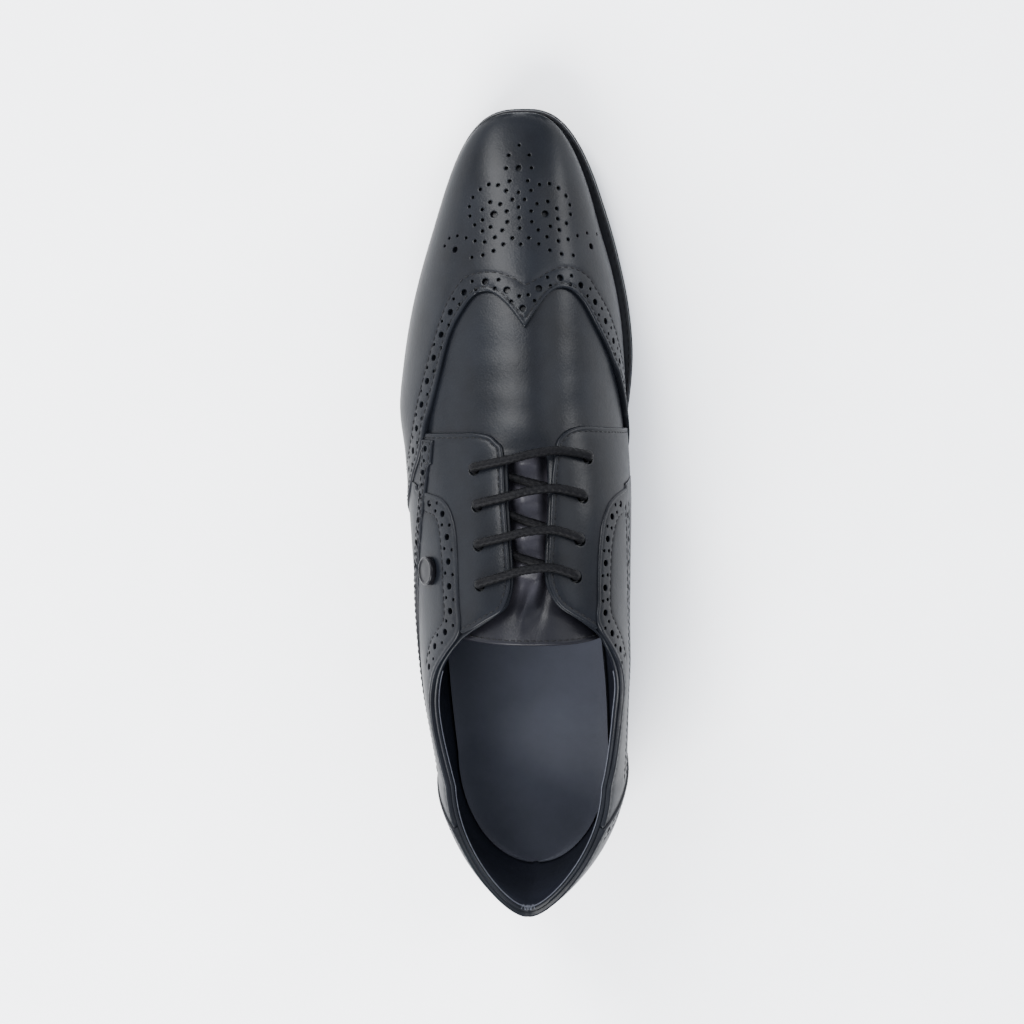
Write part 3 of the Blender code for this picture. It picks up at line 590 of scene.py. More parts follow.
# The tongue is the same calf, left softer and less polished.
TONGUE_CALF = Leather(
    "calf_leather_tongue_soft",
    deep="#0b0b0e",
    pale="#131317",
    roughness=(0.36, 0.5),
    crease=10.0,
    crease_depth=0.22,
    coat=0.2,
    # Paler towards the toe: painted light on the tongue between the laces.
    painted_light="#2c2b30",
)
# Lining: thin drummed leather, matt and near black.
LINING = Leather(
    "lining_leather_drummed", "#13151b", "#1a1c24", (0.5, 0.62), grain=1.1, specular=0.1, coat=0.0
)
# Sock: smooth coated board in dark navy-grey, with a satin film.
SOCK = Matter("sock_board_coated", "#2c2e35", "#33353d", 0.5, 30.0, 0.9, 0.03)
# Thread: bonded polyester, dull black in its groove.
THREAD = Matter("thread_polyester_bonded", "#050506", "#0a0a0c", 0.6, 1.2, 0.35, 0.05)
# Sole and heel: moulded rubber, matt with a fine mould texture.
SOLE_RUBBER = Matter("sole_rubber_moulded", "#070708", "#0c0c0e", 0.58, 6.0, 0.7, 0.05)
# Welt: leather-look strip, burnished along its edge.
WELT_STRIP = Matter("welt_strip_burnished", "#09090b", "#101114", 0.46, 4.0, 0.8, 0.04, coat=0.1)
# Stud: japanned metal cap, smooth and glossy.
STUD_ENAMEL = Matter("stud_cap_japanned", "#070709", "#0c0c0f", 0.4, 3.0, 1.5, 0.02, coat=0.12, specular=0.05)
# Topline bead: a thin corded edge, undyed grey.
BEAD_CORD = Matter("bead_cotton_corded", "#2f3036", "#404248", 0.7, 1.5, 0.5, 0.05)
# Lace: braided cotton, waxed, deep black with a dull shine on its strands.
LACE_CORD = Matter("lace_cotton_braided_waxed", "#040405", "#0a0a0c", 0.55, 1.4, 0.4, 0.06, specular=0.055)
# Floor: matt pale paper sweep.
PAPER = Matter("paper_sweep_matt", "#f4f4f4", "#f8f8f8", 0.9, 60.0, 3.0, 0.02)


def mend(work: Any) -> None:
    """Takes out the faces at edges that don't join exactly two, and fills the small holes this leaves."""
    torn = {face for edge in work.edges if len(edge.link_faces) != 2 for face in edge.link_faces}
    if torn:
        bmesh.ops.delete(work, geom=list(torn), context="FACES")
        bmesh.ops.holes_fill(work, edges=[edge for edge in work.edges if edge.is_boundary], sides=0)


def make_piece(
    name: str,
    points: Array,
    faces: Sequence[Any],
    finish: Finish,
    sharp: float = 42.0,
    lining: Sequence[bool] = (),
) -> Any:
    """A mesh object from points in millimetres, its doubles merged and its faces turned outwards.

    Args:
        name: The piece's name.
        points: Points in the tables' frame.
        faces: Corner indices of each face.
        finish: The piece's finish.
        sharp: Angle in degrees above which an edge stays sharp.
        lining: Which faces are lining, if some are.

    Returns:
        The object, at the origin.
    """
    mesh = bpy.data.meshes.new(name)
    corners = [tuple(map(int, face)) for face in faces]
    mesh.from_pydata(((np.asarray(points) - ORIGIN) * MM).tolist(), [], corners)
    mesh.materials.append(finish.material())
    if lining:
        mesh.materials.append(LINING.material())
        mesh.polygons.foreach_set("material_index", np.array(lining, np.int32))
    work = bmesh.new()
    work.from_mesh(mesh)
    bmesh.ops.remove_doubles(work, verts=work.verts[:], dist=WELD)
    bmesh.ops.dissolve_degenerate(work, edges=work.edges[:], dist=WELD)
    mend(work)
    bmesh.ops.recalc_face_normals(work, faces=work.faces[:])
    work.to_mesh(mesh)
    work.free()
    mesh.shade_smooth()
    mesh.set_sharp_from_angle(angle=math.radians(sharp))
    piece = bpy.data.objects.new(name, mesh)
    bpy.context.scene.collection.objects.link(piece)
    return piece


def joined(blocks: Sequence[tuple[Array, Any]]) -> tuple[Array, Faces]:
    """Blocks of points and faces as one."""
    faces = []
    start = 0
    for points, own_faces in blocks:
        faces += [tuple(corner + start for corner in face) for face in own_faces]
        start += len(points)
    return np.concatenate([points for points, _ in blocks]), faces


def settle(piece: Any, slot: str, *nodes: str) -> Any:
    """Rides a piece on the shoe's body and lets it stand for its CAD nodes, which it hides."""
    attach(piece, BODY)
    if nodes:
        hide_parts(*nodes)
    stands_for = f", for {', '.join(nodes)}" if nodes else ""
    LOG.info("%s: %d faces%s", piece.name, len(piece.data.polygons), stands_for)
    return piece


def edge_distance(points: Array, starts: Array, ends: Array) -> Array:
    """Distance of each flat point to the nearest of the given segments."""
    along = ends - starts
    square = np.maximum(np.sum(along * along, -1), 1e-12)
    nearest = np.empty(len(points))
    for first in range(0, len(points), BATCH):
        away = points[first : first + BATCH, None, :] - starts[None]
        t = np.clip(np.sum(away * along, -1) / square, 0, 1)
        nearest[first : first + BATCH] = np.sqrt(np.min(np.sum((away - t[..., None] * along) ** 2, -1), 1))
    return nearest


def inside_loop(points: Array, loop: Array) -> Array:
    """Which flat points lie inside a closed loop."""
    ax, ay = loop.T
    bx, by = np.roll(loop, -1, axis=0).T
    rise = np.where(by == ay, 1e-12, by - ay)
    result = np.empty(len(points), bool)
    for first in range(0, len(points), BATCH):
        x, y = points[first : first + BATCH].T[..., None]
        crosses = ((ay > y) != (by > y)) & (x < (bx - ax) * (y - ay) / rise + ax)
        result[first : first + BATCH] = crosses.sum(1) % 2 == 1
    return result


def segments(lines: Sequence[Array]) -> tuple[Array, Array]:
    """Starts and ends of all the pieces of some polylines."""
    return np.concatenate([line[:-1] for line in lines]), np.concatenate([line[1:] for line in lines])


def tucked(line: Array, middle: Array, reach: float = 1.6) -> Array:
    """A panel's edge carried on outwards, under the panel that overlaps it.

    Args:
        line: The edge as flat points.
        middle: A flat point well inside the panel.
        reach: How far the edge is carried on.

    Returns:
        The carried edge.
    """
    across = left_of(unit(np.gradient(line, axis=0)))
    sign = 1.0 if np.sum(across * (line - middle)) > 0 else -1.0
    return line + sign * reach * across


class Punch(NamedTuple):
    """A round hole through a panel: its flat centre, radius in millimetres and count of sides."""

    centre: Array
    radius: float
    sides: int


@dataclass
class Panel:
    """A leather panel cut to an outline, punched, rolled at its edge and laid over the last."""

    outline: Array
    high: float
    low: float = 0.08
    chart: Chart = SIDES
    punches: list[Punch] = field(default_factory=list)
    pitch: float = 1.9
    roll: float = 0.75
    roll_depth: float = 0.75
    rolled: list[Array] = field(default_factory=list)
    lifted: list[Array] = field(default_factory=list)
    lift: float = 0.7
    lift_reach: float = 4.5
    grooves: list[Array] = field(default_factory=list)
    groove_at: float = 1.8
    groove_depth: float = 0.2
    groove_width: float = 0.5
    rows: tuple[float, ...] = (0.12, 0.36, 0.75, 1.3, 1.8, 2.3)
    groove_rows: tuple[float, ...] = (-0.5, 0.0, 0.5)
    groove_clear: float = 0.4
    row_share: float = 0.8
    seam_share: float = 0.9
    stretch: tuple[float, float] = (0.45, 2.0)
    punch_rims: tuple[float, ...] = (0.22, 0.5)
    punch_drop: float = 0.1
    punch_share: float = 1.2
    punch_clear: float = 0.15
    open_run: float | None = None

    def __post_init__(self) -> None:
        """Turns the outline anticlockwise."""
        x, y = self.outline.T
        if np.sum(x * np.roll(y, -1) - np.roll(x, -1) * y) < 0:
            self.outline = self.outline[::-1]

    def inward(self) -> Array:
        """Directions into the panel at the outline's points."""
        ahead = unit(np.roll(self.outline, -1, axis=0) - self.outline)
        return left_of(unit(ahead + np.roll(ahead, 1, axis=0)))

    def closed_edges(self) -> tuple[Array, Array]:
        """Starts and ends of the outline's edges, without those on the open line at the toe's tip."""
        starts, ends = self.outline, np.roll(self.outline, -1, axis=0)
        if self.open_run is None:
            return starts, ends
        kept = np.maximum(np.abs(starts[:, 0] - self.open_run), np.abs(ends[:, 0] - self.open_run)) > 1e-6
        return starts[kept], ends[kept]

    def field_points(self) -> Array:
        """Points spread over the panel: rows along its edge and grooves, then an even field."""
        starts, ends = self.closed_edges()
        rows = []
        for line in self.grooves:
            across = left_of(unit(np.gradient(line, axis=0)))
            for distance in self.groove_rows:
                row = line + across * distance
                row = row[inside_loop(row, self.outline)]
                rows.append(row[edge_distance(row, starts, ends) > self.rows[-1] + self.groove_clear])
        for distance in self.rows:
            row = self.outline + self.inward() * distance
            row = row[inside_loop(row, self.outline)]
            rows.append(row[edge_distance(row, starts, ends) > self.row_share * distance])
        low, high = self.outline.min(0), self.outline.max(0)
        field_rows = []
        for number, run in enumerate(np.arange(low[0] + self.pitch / 2, high[0], self.pitch)):
            probe = np.stack([np.full(5, run), np.linspace(low[1], high[1], 5)], -1)
            scale = np.clip(np.linalg.norm(self.chart.axes(probe)[1], axis=-1).mean(), *self.stretch)
            step = self.pitch / scale
            across = np.arange(low[1] + step * (0.25 + 0.5 * (number % 2)), high[1], step)
            field_rows.append(np.stack([np.full(len(across), run), across], -1))
        middle = np.concatenate(field_rows)
        middle = middle[inside_loop(middle, self.outline)]
        middle = middle[edge_distance(middle, starts, ends) > self.rows[-1] + 0.5 * self.pitch]
        points = np.concatenate(rows + [middle])
        for punch in self.punches:
            away = np.linalg.norm(points - punch.centre, axis=-1)
            reach = (punch.radius + self.punch_rims[-1]) * self.punch_share + self.punch_clear
            points = points[away > reach]
        return points

    def cut(self) -> tuple[Array, Faces]:
        """Cuts the panel.

        Returns:
            Points in millimetres and faces of the closed panel.
        """
        loops = [self.outline] + [self.chart.ring(p.centre, p.radius, p.sides) for p in self.punches]
        rims = [
            self.chart.ring(p.centre, p.radius + rim, p.sides)
            for p in self.punches
            for rim in self.punch_rims
        ]
        rims = [rim for rim in rims if inside_loop(rim, self.outline).all()]
        flat = np.concatenate(loops + rims + [self.field_points()])
        edges = []
        owner = np.full(len(flat), -1)
        start = 0
        for number, loop in enumerate(loops):
            count = len(loop)
            edges += [(start + i, start + (i + 1) % count) for i in range(count)]
            owner[start : start + count] = number
            start += count
        out = delaunay_2d_cdt([Vector(p) for p in flat], edges, [], 0, 1e-7)
        flat = np.array([tuple(p) for p in out[0]])
        owner = np.array([max((owner[k] for k in same), default=-1) for same in out[3]])
        faces = np.array([face for face in out[2] if len(face) == 3])
        kept = inside_loop(flat[faces].mean(1), self.outline)
        punched = (owner[faces] > 0).all(1) & (owner[faces] == owner[faces][:, :1]).all(1)
        faces = faces[kept & ~punched]
        return self.thicken(flat, faces, owner)

    def face(self, flat: Array) -> Array:
        """Height of the face over the last: rolled at its edge, lifted over others, sunk under stitches."""
        distance = edge_distance(flat, *(segments(self.rolled) if self.rolled else self.closed_edges()))
        t = np.clip(1 - distance / self.roll, 0, 1)
        level = self.high - self.roll_depth * (1 - np.sqrt(1 - t * t))
        level -= self.groove_depth * np.exp(-(((distance - self.groove_at) / self.groove_width) ** 2))
        if self.grooves:
            away = edge_distance(flat, *segments(self.grooves))
            level -= self.groove_depth * np.exp(-((away / self.groove_width) ** 2))
        if self.lifted:
            away = edge_distance(flat, *segments(self.lifted))
            level += self.lift * np.exp(-((away / self.lift_reach) ** 2))
        return level

    def thicken(self, flat: Array, faces: Array, owner: Array) -> tuple[Array, Faces]:
        """Gives the cut sheet its underside and its edge walls."""
        count = len(flat)
        level = np.where(owner > 0, self.face(flat) - self.punch_drop, self.face(flat))
        points = np.concatenate([self.chart.place(flat, level), self.chart.place(flat, self.low)])
        shell = [tuple(face) for face in faces] + [tuple(face[::-1] + count) for face in faces]
        pairs = np.concatenate([faces[:, [0, 1]], faces[:, [1, 2]], faces[:, [2, 0]]])
        keys = np.sort(pairs, 1)
        _, index, times = np.unique(keys, axis=0, return_inverse=True, return_counts=True)
        for a, b in pairs[times[index.reshape(-1)] == 1]:
            on_tip = self.open_run is not None and min(flat[a, 0], flat[b, 0]) > self.open_run - TOUCH
            if not on_tip:
                shell.append((b, a, a + count, b + count))
        return points, shell

    def inset_line(self, distance: float) -> Array:
        """The outline drawn in by a distance, as a flat closed line."""
        row = self.outline + self.inward() * distance
        return row[edge_distance(row, *self.closed_edges()) > self.seam_share * distance]

    def seam_beside(self, line: Array, middle: Array, edges: Sequence[Array], sign: float = -1.0) -> Array:
        """The stitch line beside one of the panel's edges, where it clears all the edges.

        Args:
            line: The edge as flat points.
            middle: A flat point well to one side of it.
            edges: The edges to clear.
            sign: Plus one if the panel lies away from that point.

        Returns:
            The stitch line.
        """
        inner = tucked(line, middle, sign * self.groove_at)
        return inner[edge_distance(inner, *segments(edges)) > self.seam_share * self.groove_at]

    def piece(self, name: str) -> Any:
        """The cut panel as a piece of polished calf."""
        return make_piece(name, *self.cut(), OVERLAY_CALF)


def spaced(chart: Chart, line: Array, pitch: float, start: float = 0.0) -> tuple[Array, Array]:
    """Flat points at an even true distance along a flat line.

    Args:
        chart: The board that the line is drawn on.
        line: Flat points in order, close together.
        pitch: True distance between the wanted points.
        start: True distance of the first one from the line's beginning.

    Returns:
        The flat points, and the line's flat direction at each.
    """
    length = run_of(chart.place(line))
    wanted = np.arange(start, length[-1], pitch)
    near = 0.3
    behind, here, ahead = (
        np.stack([np.interp(wanted + shift, length, line[:, k]) for k in (0, 1)], -1)
        for shift in (-near, 0.0, near)
    )
    return here, unit(ahead - behind)


@dataclass
class Seam:
    """Lockstitch rows: short waxed stitches, each a little sunk in the leather, joined as one piece."""

    name: str
    slot: str
    length: float = 2.15
    pitch: float = 2.75
    width: float = 0.52
    height: float = 0.34
    gap: float = 4.0
    shortest: int = 4
    stitches: list[tuple[Array, Faces]] = field(default_factory=list)

    def stitch_form(self) -> tuple[Array, Faces]:
        """One stitch, lying along Z: a ball drawn out long."""
        bpy.ops.object.select_all(action="DESELECT")
        bpy.ops.mesh.primitive_uv_sphere_add(segments=6, ring_count=4, radius=0.5)
        ball = bpy.context.object
        bpy.ops.object.mode_set(mode="EDIT")
        bpy.ops.mesh.select_all(action="SELECT")
        bpy.ops.transform.resize(value=(self.width, self.height * 2, self.length))
        bpy.ops.object.mode_set(mode="OBJECT")
        points = np.array([vertex.co[:] for vertex in ball.data.vertices])
        faces = [tuple(face.vertices) for face in ball.data.polygons]
        mesh = ball.data
        bpy.data.objects.remove(ball)
        bpy.data.meshes.remove(mesh)
        return points, faces

    def sew(self, places: Array, headings: Array, normals: Array) -> None:
        """Adds stitches at places, along headings, standing on normals."""
        form, faces = self.stitch_form()
        for place, heading, normal in zip(places, unit(headings), unit(normals)):
            across = unit(np.cross(normal, heading))
            points = place + form[:, :1] * across + form[:, 1:2] * normal + form[:, 2:] * heading
            self.stitches.append((points, faces))

    def sew_line(self, chart: Chart, line: Array, on: Panel | float) -> None:
        """Sews along a flat line on a panel's face, or at a level over the last; breaks are left open."""
        steps = np.linalg.norm(np.diff(line, axis=0), axis=1)
        for part in np.split(line, np.nonzero(steps > self.gap)[0] + 1):
            if len(part) < self.shortest:
                continue
            flat, ahead = spaced(chart, part, self.pitch, self.pitch / 2)
            if len(flat) == 0:
                continue
            level = on.face(flat) if isinstance(on, Panel) else on
            first, second, normal = chart.axes(flat, level)
            self.sew(chart.place(flat, level), first * ahead[:, :1] + second * ahead[:, 1:], normal)

    def build(self) -> Any:
        """Joins the stitches in one piece."""
        return settle(make_piece(self.name, *joined(self.stitches), THREAD, 80.0), self.slot)


@dataclass(frozen=True)
class Broguing:
    """Punched rows: large holes at a pitch with small pairs between them, or large and small in one line."""

    pitch: float = 9.3
    large: float = 1.3
    small: float = 0.68
    spread: float = 1.75
    line_pitch: float = 4.6
    line_share: float = 0.9
    coarse_radius: float = 0.7
    sides: tuple[int, int] = (10, 14)

    def punch(self, flat: Array, radius: float) -> Punch:
        """One hole."""
        return Punch(flat, radius, self.sides[radius > self.coarse_radius])

    def paired(self, chart: Chart, line: Array, start: float = 0.0, skip: int = 0) -> list[Punch]:
        """Large holes along a flat line, less the first few, with a pair of small ones between each two."""
        holes = [self.punch(flat, self.large) for flat in spaced(chart, line, self.pitch, start)[0][skip:]]
        middles, ahead = spaced(chart, line, self.pitch, start + self.pitch / 2)
        for flat, heading in zip(middles, ahead):
            across = left_of(heading) * self.spread
            holes += [self.punch(flat + across, self.small), self.punch(flat - across, self.small)]
        return holes

    def single(self, chart: Chart, line: Array, start: float = 0.0) -> list[Punch]:
        """Large and small holes by turns along a flat line."""
        flats = spaced(chart, line, self.line_pitch, start)[0]
        radii = (self.large * self.line_share, self.small)
        return [self.punch(flat, radii[k % 2]) for k, flat in enumerate(flats)]


BROGUING = Broguing()


class Wing(NamedTuple):
    """Where the wing cap's rear edge lies on one line round the section."""

    v: float
    y: float


WING_LATERAL = table(
    Wing,
    (0.000, 74.4), (0.060, 82.1), (0.105, 85.9), (0.147, 87.4), (0.213, 85.0), (0.252, 80.2),
    (0.310, 68.7), (0.348, 53.3), (0.407, 34.6), (0.535, 15.0), (0.800, -5.0), (1.000, -12.0),
)
WING_MEDIAL = table(
    Wing,
    (0.000, 74.4), (0.062, 80.7), (0.125, 85.9), (0.198, 88.3), (0.270, 86.9), (0.340, 81.6),
    (0.405, 73.0), (0.495, 62.0), (0.598, 49.0), (0.667, 40.4), (0.760, 30.0), (0.880, 18.0), (1.000, 8.0),
)
FOOT_V = 0.985
SEAM_GAP = 0.8
# Stitches stop short of the welt at this position round the section.
SEAM_FOOT = 0.95


def wing_edge(v: Any) -> Array:
    """Position along the foot of the wing cap's rear edge."""
    v = np.asarray(v, float)
    lateral = from_table(WING_LATERAL, "y", np.abs(v), "v")
    return np.where(v < 0, lateral, from_table(WING_MEDIAL, "y", np.abs(v), "v"))


def chain(*lines: Array) -> Array:
    """One closed outline from lines that follow each other, shared ends kept once."""
    kept = []
    for line in lines:
        if kept and np.linalg.norm(kept[-1][-1] - line[0]) < 0.05:
            line = line[1:]
        kept.append(line)
    outline = np.concatenate(kept)
    return outline[:-1] if np.linalg.norm(outline[0] - outline[-1]) < 0.05 else outline


def drawn(chart: Chart, rows: Any, behind_wing: bool = False) -> Array:
    """A smooth flat line through (position along the foot, position round the section) rows."""
    y, v = np.array(rows, float).T
    if behind_wing:
        y = np.minimum(y, wing_edge(v) - SEAM_GAP)
    return spline(chart.flat(y, v), 1.0)


class Mark(NamedTuple):
    """A medallion hole: distance from the toe's axis and position along the foot."""

    across: float
    y: float


# Medallion, charted on one half of the toe; holes off the axis are mirrored.
MEDALLION_LARGE = table(Mark, (0.0, 131.9), (9.8, 115.6), (25.9, 102.2))
MEDALLION_SMALL = table(
    Mark,
    # spine
    (0.0, 139.9), (0.0, 123.4), (0.0, 118.2), (0.0, 114.3), (0.0, 110.5), (0.0, 104.6),
    # spearhead
    (3.9, 136.4), (4.8, 131.9), (3.4, 127.4), (4.7, 124.0), (2.3, 120.9),
    # ring
    (11.0, 120.0), (7.0, 119.3), (4.6, 116.7), (4.6, 112.8), (6.8, 109.7), (14.2, 117.3), (14.3, 113.5),
    (11.4, 110.9),
    # arc
    (7.9, 126.0), (11.6, 126.2), (14.9, 124.5), (17.8, 121.6), (19.2, 118.3), (19.2, 114.8), (17.5, 111.6),
    (14.6, 109.4),
    # swag
    (9.9, 107.1), (14.0, 105.4), (17.7, 105.7), (21.2, 106.7), (24.7, 107.3), (28.1, 106.2), (30.2, 103.2),
    (3.1, 106.9), (6.7, 104.6), (10.7, 102.2), (14.9, 100.6), (19.3, 99.7),
)


@dataclass
class WingCap:
    """The wing-tip toe cap: W-shaped rear edge, perforated band and toe medallion."""

    high: float = 1.8
    medallion_large: float = 1.3
    medallion_small: float = 0.7
    band_start: float = 0.6
    laps: tuple[float, float] = (0.40, 0.56)
    front_line: Line = (
        (2.0, -0.985), (10.0, -0.80), (16.5, -0.66), (24.9, -0.556), (35.5, -0.482), (47.4, -0.442),
        (59.2, -0.407), (69.0, -0.378), (77.9, -0.351), (84.7, -0.320), (90.2, -0.278), (93.1, -0.231),
        (94.4, -0.156), (94.0, -0.089), (91.9, -0.027), (90.0, 0.009), (91.9, 0.071), (94.4, 0.140),
        (95.7, 0.218), (94.8, 0.300), (91.4, 0.384), (85.1, 0.444), (78.3, 0.506), (70.5, 0.560),
        (61.6, 0.615), (52.0, 0.685), (42.0, 0.780), (31.0, 0.890), (23.0, 0.985),
    )
    lateral_band: Line = (
        (81.0, 0.000), (88.1, -0.064), (91.0, -0.155), (86.4, -0.254), (77.0, -0.318), (67.3, -0.353),
        (57.5, -0.384), (48.2, -0.412), (38.0, -0.440), (28.5, -0.487), (19.6, -0.558), (11.5, -0.660),
        (3.0, -0.780), (-4.0, -0.930),
    )
    medial_band: Line = (
        (81.0, 0.000), (88.5, 0.080), (91.9, 0.208), (87.0, 0.352), (78.8, 0.430), (70.0, 0.502),
        (60.5, 0.565), (50.8, 0.632), (41.0, 0.715), (31.0, 0.810), (21.0, 0.930),
    )

    def plan_punch(self, mark: Mark, side: float, radius: float) -> Punch:
        """A medallion hole found from above: the place round the section that lies that far from the axis."""
        s = LAST.station_of(mark.y)
        v = np.linspace(0, LAST.wide_v, 400)
        ridge = LAST.point(s, 0.0, self.high)[0]
        across = np.abs(LAST.point(s, side * v, self.high)[:, 0] - ridge)
        return BROGUING.punch(SIDES.flat(mark.y, side * np.interp(mark.across, across, v)), radius)

    def medallion(self) -> list[Punch]:
        """The toe medallion's holes."""
        holes = []
        sizes = ((MEDALLION_LARGE, self.medallion_large), (MEDALLION_SMALL, self.medallion_small))
        for marks, radius in sizes:
            for mark in marks:
                sides = (1.0,) if mark.across == 0 else (-1.0, 1.0)
                holes += [self.plan_punch(mark, side, radius) for side in sides]
        return holes

    def rear(self) -> list[Array]:
        """Flat lines of the rear edge, from the point of the W to the lateral and the medial foot."""
        v = np.linspace(0, FOOT_V, 400)
        return [even(SIDES.flat(wing_edge(side.value * v), side.value * v), 1.0) for side in Side]

    def outline(self) -> Array:
        """Flat outline: rear edge in its W, both foot edges and the closed line at the toe's tip."""
        rear = self.rear()
        feet = []
        for side in Side:
            foot = side.value * FOOT_V
            s = np.linspace(float(LAST.station_of(wing_edge(foot))), 2.0, 600)
            feet.append(even(SIDES.flat_station(s, foot), 1.5))
        tip = SIDES.flat_station(2.0, np.linspace(FOOT_V, -FOOT_V, 61))
        return chain(rear[0][::-1], rear[1], feet[1], tip, feet[0][::-1])

    def build(self, seam: Seam) -> Any:
        """Cuts, punches and stitches the wing cap."""
        band = BROGUING.paired(SIDES, drawn(SIDES, self.lateral_band), self.band_start)
        band += BROGUING.paired(SIDES, drawn(SIDES, self.medial_band), self.band_start, skip=1)
        rear = self.rear()
        front_line = drawn(SIDES, self.front_line)
        panel = Panel(
            self.outline(),
            self.high,
            punches=band + self.medallion(),
            rolled=rear,
            lifted=[line[np.abs(line[:, 1]) > lap * SIDES.girth] for line, lap in zip(rear, self.laps)],
            grooves=[front_line],
            open_run=LAST.run_lengths[-1],
        )
        piece = panel.piece("wing_cap_calf")
        for line in rear:
            inner = panel.seam_beside(line, SIDES.flat(0.0, 0.0), rear, 1.0)
            seam.sew_line(SIDES, inner[np.abs(inner[:, 1]) < SEAM_FOOT * SIDES.girth], panel)
        seam.sew_line(SIDES, front_line, panel)
        return settle(piece, "overlay", "wing_cap")


def ring_faces(count: int, rings: int, closed: bool = False) -> Faces:
    """Four-sided faces between neighbouring rings of points, the last joined to the first if closed."""
    faces = []
    for k in range(rings if closed else rings - 1):
        near, far = k * count, (k + 1) % rings * count
        faces += [(near + i, near + (i + 1) % count, far + (i + 1) % count, far + i) for i in range(count)]
    return faces


def grid_faces(rows: int, columns: int, start: int = 0) -> Faces:
    """Four-sided faces of a grid whose points are stored row by row from start."""
    corners = [start + i * columns + j for i in range(rows - 1) for j in range(columns - 1)]
    return [(a, a + 1, a + columns + 1, a + columns) for a in corners]


class Trough(NamedTuple):
    """A soft crease across the vamp: where it starts and ends, its depth and its width."""

    start_y: float
    start_v: float
    end_y: float
    end_v: float
    depth: float
    width: float


# Walking creases hardly begun: three shallow troughs behind the wing cap.
TROUGHS = table(
    Trough,
    (66.0, -0.30, 69.0, 0.30, 0.22, 5.0),
    (54.0, -0.34, 57.0, 0.36, 0.28, 5.5),
    (44.0, -0.36, 45.5, 0.40, 0.20, 4.5),
)


@dataclass
class UpperShell:
    """The lasted upper: calf outside, lining inside, a rolled rim round the collar and throat."""

    wall: float = 2.0
    heel_steps: int = 44
    body_steps: int = 150
    toe_steps: int = 50
    side_steps: int = 46
    rim: Line = ((-0.25, 0.45), (-0.95, 0.7), (-1.7, 0.45))
    rim_girth: float = 85.0
    dip: float = 1.5
    dip_front_y: float = 40.0
    dip_length: float = 16.0
    dip_width: float = 0.105
    dip_middle: float = 0.010
    dip_rear_y: float = -10.0
    dip_fade: float = 20.0
    rim_fade: float = 3.0

    def relief(self, y: Array, v: Array) -> Array:
        """Soft troughs in the vamp and its dip into the tongue, as a change of offset."""
        t = np.clip((self.dip_front_y - y) / self.dip_length, 0, 1)
        across = np.exp(-(((v - self.dip_middle) / self.dip_width) ** 4))
        fade = np.clip((y - self.dip_rear_y) / self.dip_fade, 0, 1)
        drop = -self.dip * t * t * (3 - 2 * t) * across * fade
        for trough in TROUGHS:
            t = (v - trough.start_v) / (trough.end_v - trough.start_v)
            line = trough.start_y + (trough.end_y - trough.start_y) * t
            fade = np.clip(1 - np.abs(2 * t - 1) ** 3, 0, 1)
            drop -= trough.depth * fade * np.exp(-(((y - line) / trough.width) ** 2))
        return drop

    def half(self, side: Side) -> tuple[Array, Faces, list[bool]]:
        """One side of the shell: its points, faces and which faces are lining."""
        throat = float(LAST.station_of(LAST.throat_front_y))
        behind = int(round(self.body_steps * throat))
        stations = np.concatenate(
            [
                np.linspace(-1, 0, self.heel_steps + 1)[:-1],
                np.linspace(0, throat, behind + 1)[:-1],
                np.linspace(throat, 1, self.body_steps - behind + 1)[:-1],
                np.linspace(1, 2, self.toe_steps + 1),
            ]
        )
        front = self.heel_steps + behind
        y = LAST.station(stations, 0.0)[0]
        edge = np.where(np.arange(len(stations)) < front, LAST.opening(y, side), 0.0)[:, None]
        down = np.linspace(0, 1, self.side_steps + 1)[None, :]
        v = edge + (side.value - edge) * down
        relief = self.relief(y[:, None], v)
        strips = [LAST.point(stations[:, None], v, relief)[:, ::-1]]
        open_share = np.clip((front - np.arange(len(stations))) / self.rim_fade, 0, 1)[:, None]
        for offset, reach in self.rim:
            lip = edge - side.value * reach / self.rim_girth * open_share
            strips.append(LAST.point(stations[:, None], lip, offset + self.relief(y[:, None], lip)))
        strips.append(LAST.point(stations[:, None], v, relief - self.wall))
        sheet = np.concatenate(strips, axis=1)
        columns = sheet.shape[1]
        first_inner = self.side_steps + 1 + len(self.rim)
        faces = []
        lining = []
        for i in range(len(stations) - 1):
            for j in range(columns - 1):
                at_rim = self.side_steps <= j < first_inner
                if at_rim and i >= front:
                    continue
                a = i * columns + j
                faces.append((a, a + 1, a + columns + 1, a + columns))
                lining.append(j >= first_inner - 1)
            foot = i * columns
            faces.append((foot, foot + columns, foot + 2 * columns - 1, foot + columns - 1))
            lining.append(True)
        return sheet.reshape(-1, 3), faces, lining

    def build(self) -> Any:
        """Builds the shell from its two sides."""
        halves = [self.half(side) for side in Side]
        lining = [face for *_, own in halves for face in own]
        points, faces = joined([half[:2] for half in halves])
        return settle(make_piece("upper_calf", points, faces, VAMP_CALF, 60.0, lining), "upper", "upper")


class Rib(NamedTuple):
    """One rib of a panel, from its upper edge to its lower edge."""

    top_y: float
    top_v: float
    low_y: float
    low_v: float


class Hole(NamedTuple):
    """A place on the last."""

    y: float
    v: float


class Drop(NamedTuple):
    """Where a rib leaves the collar and where it meets the welt."""

    collar_y: float
    foot_y: float


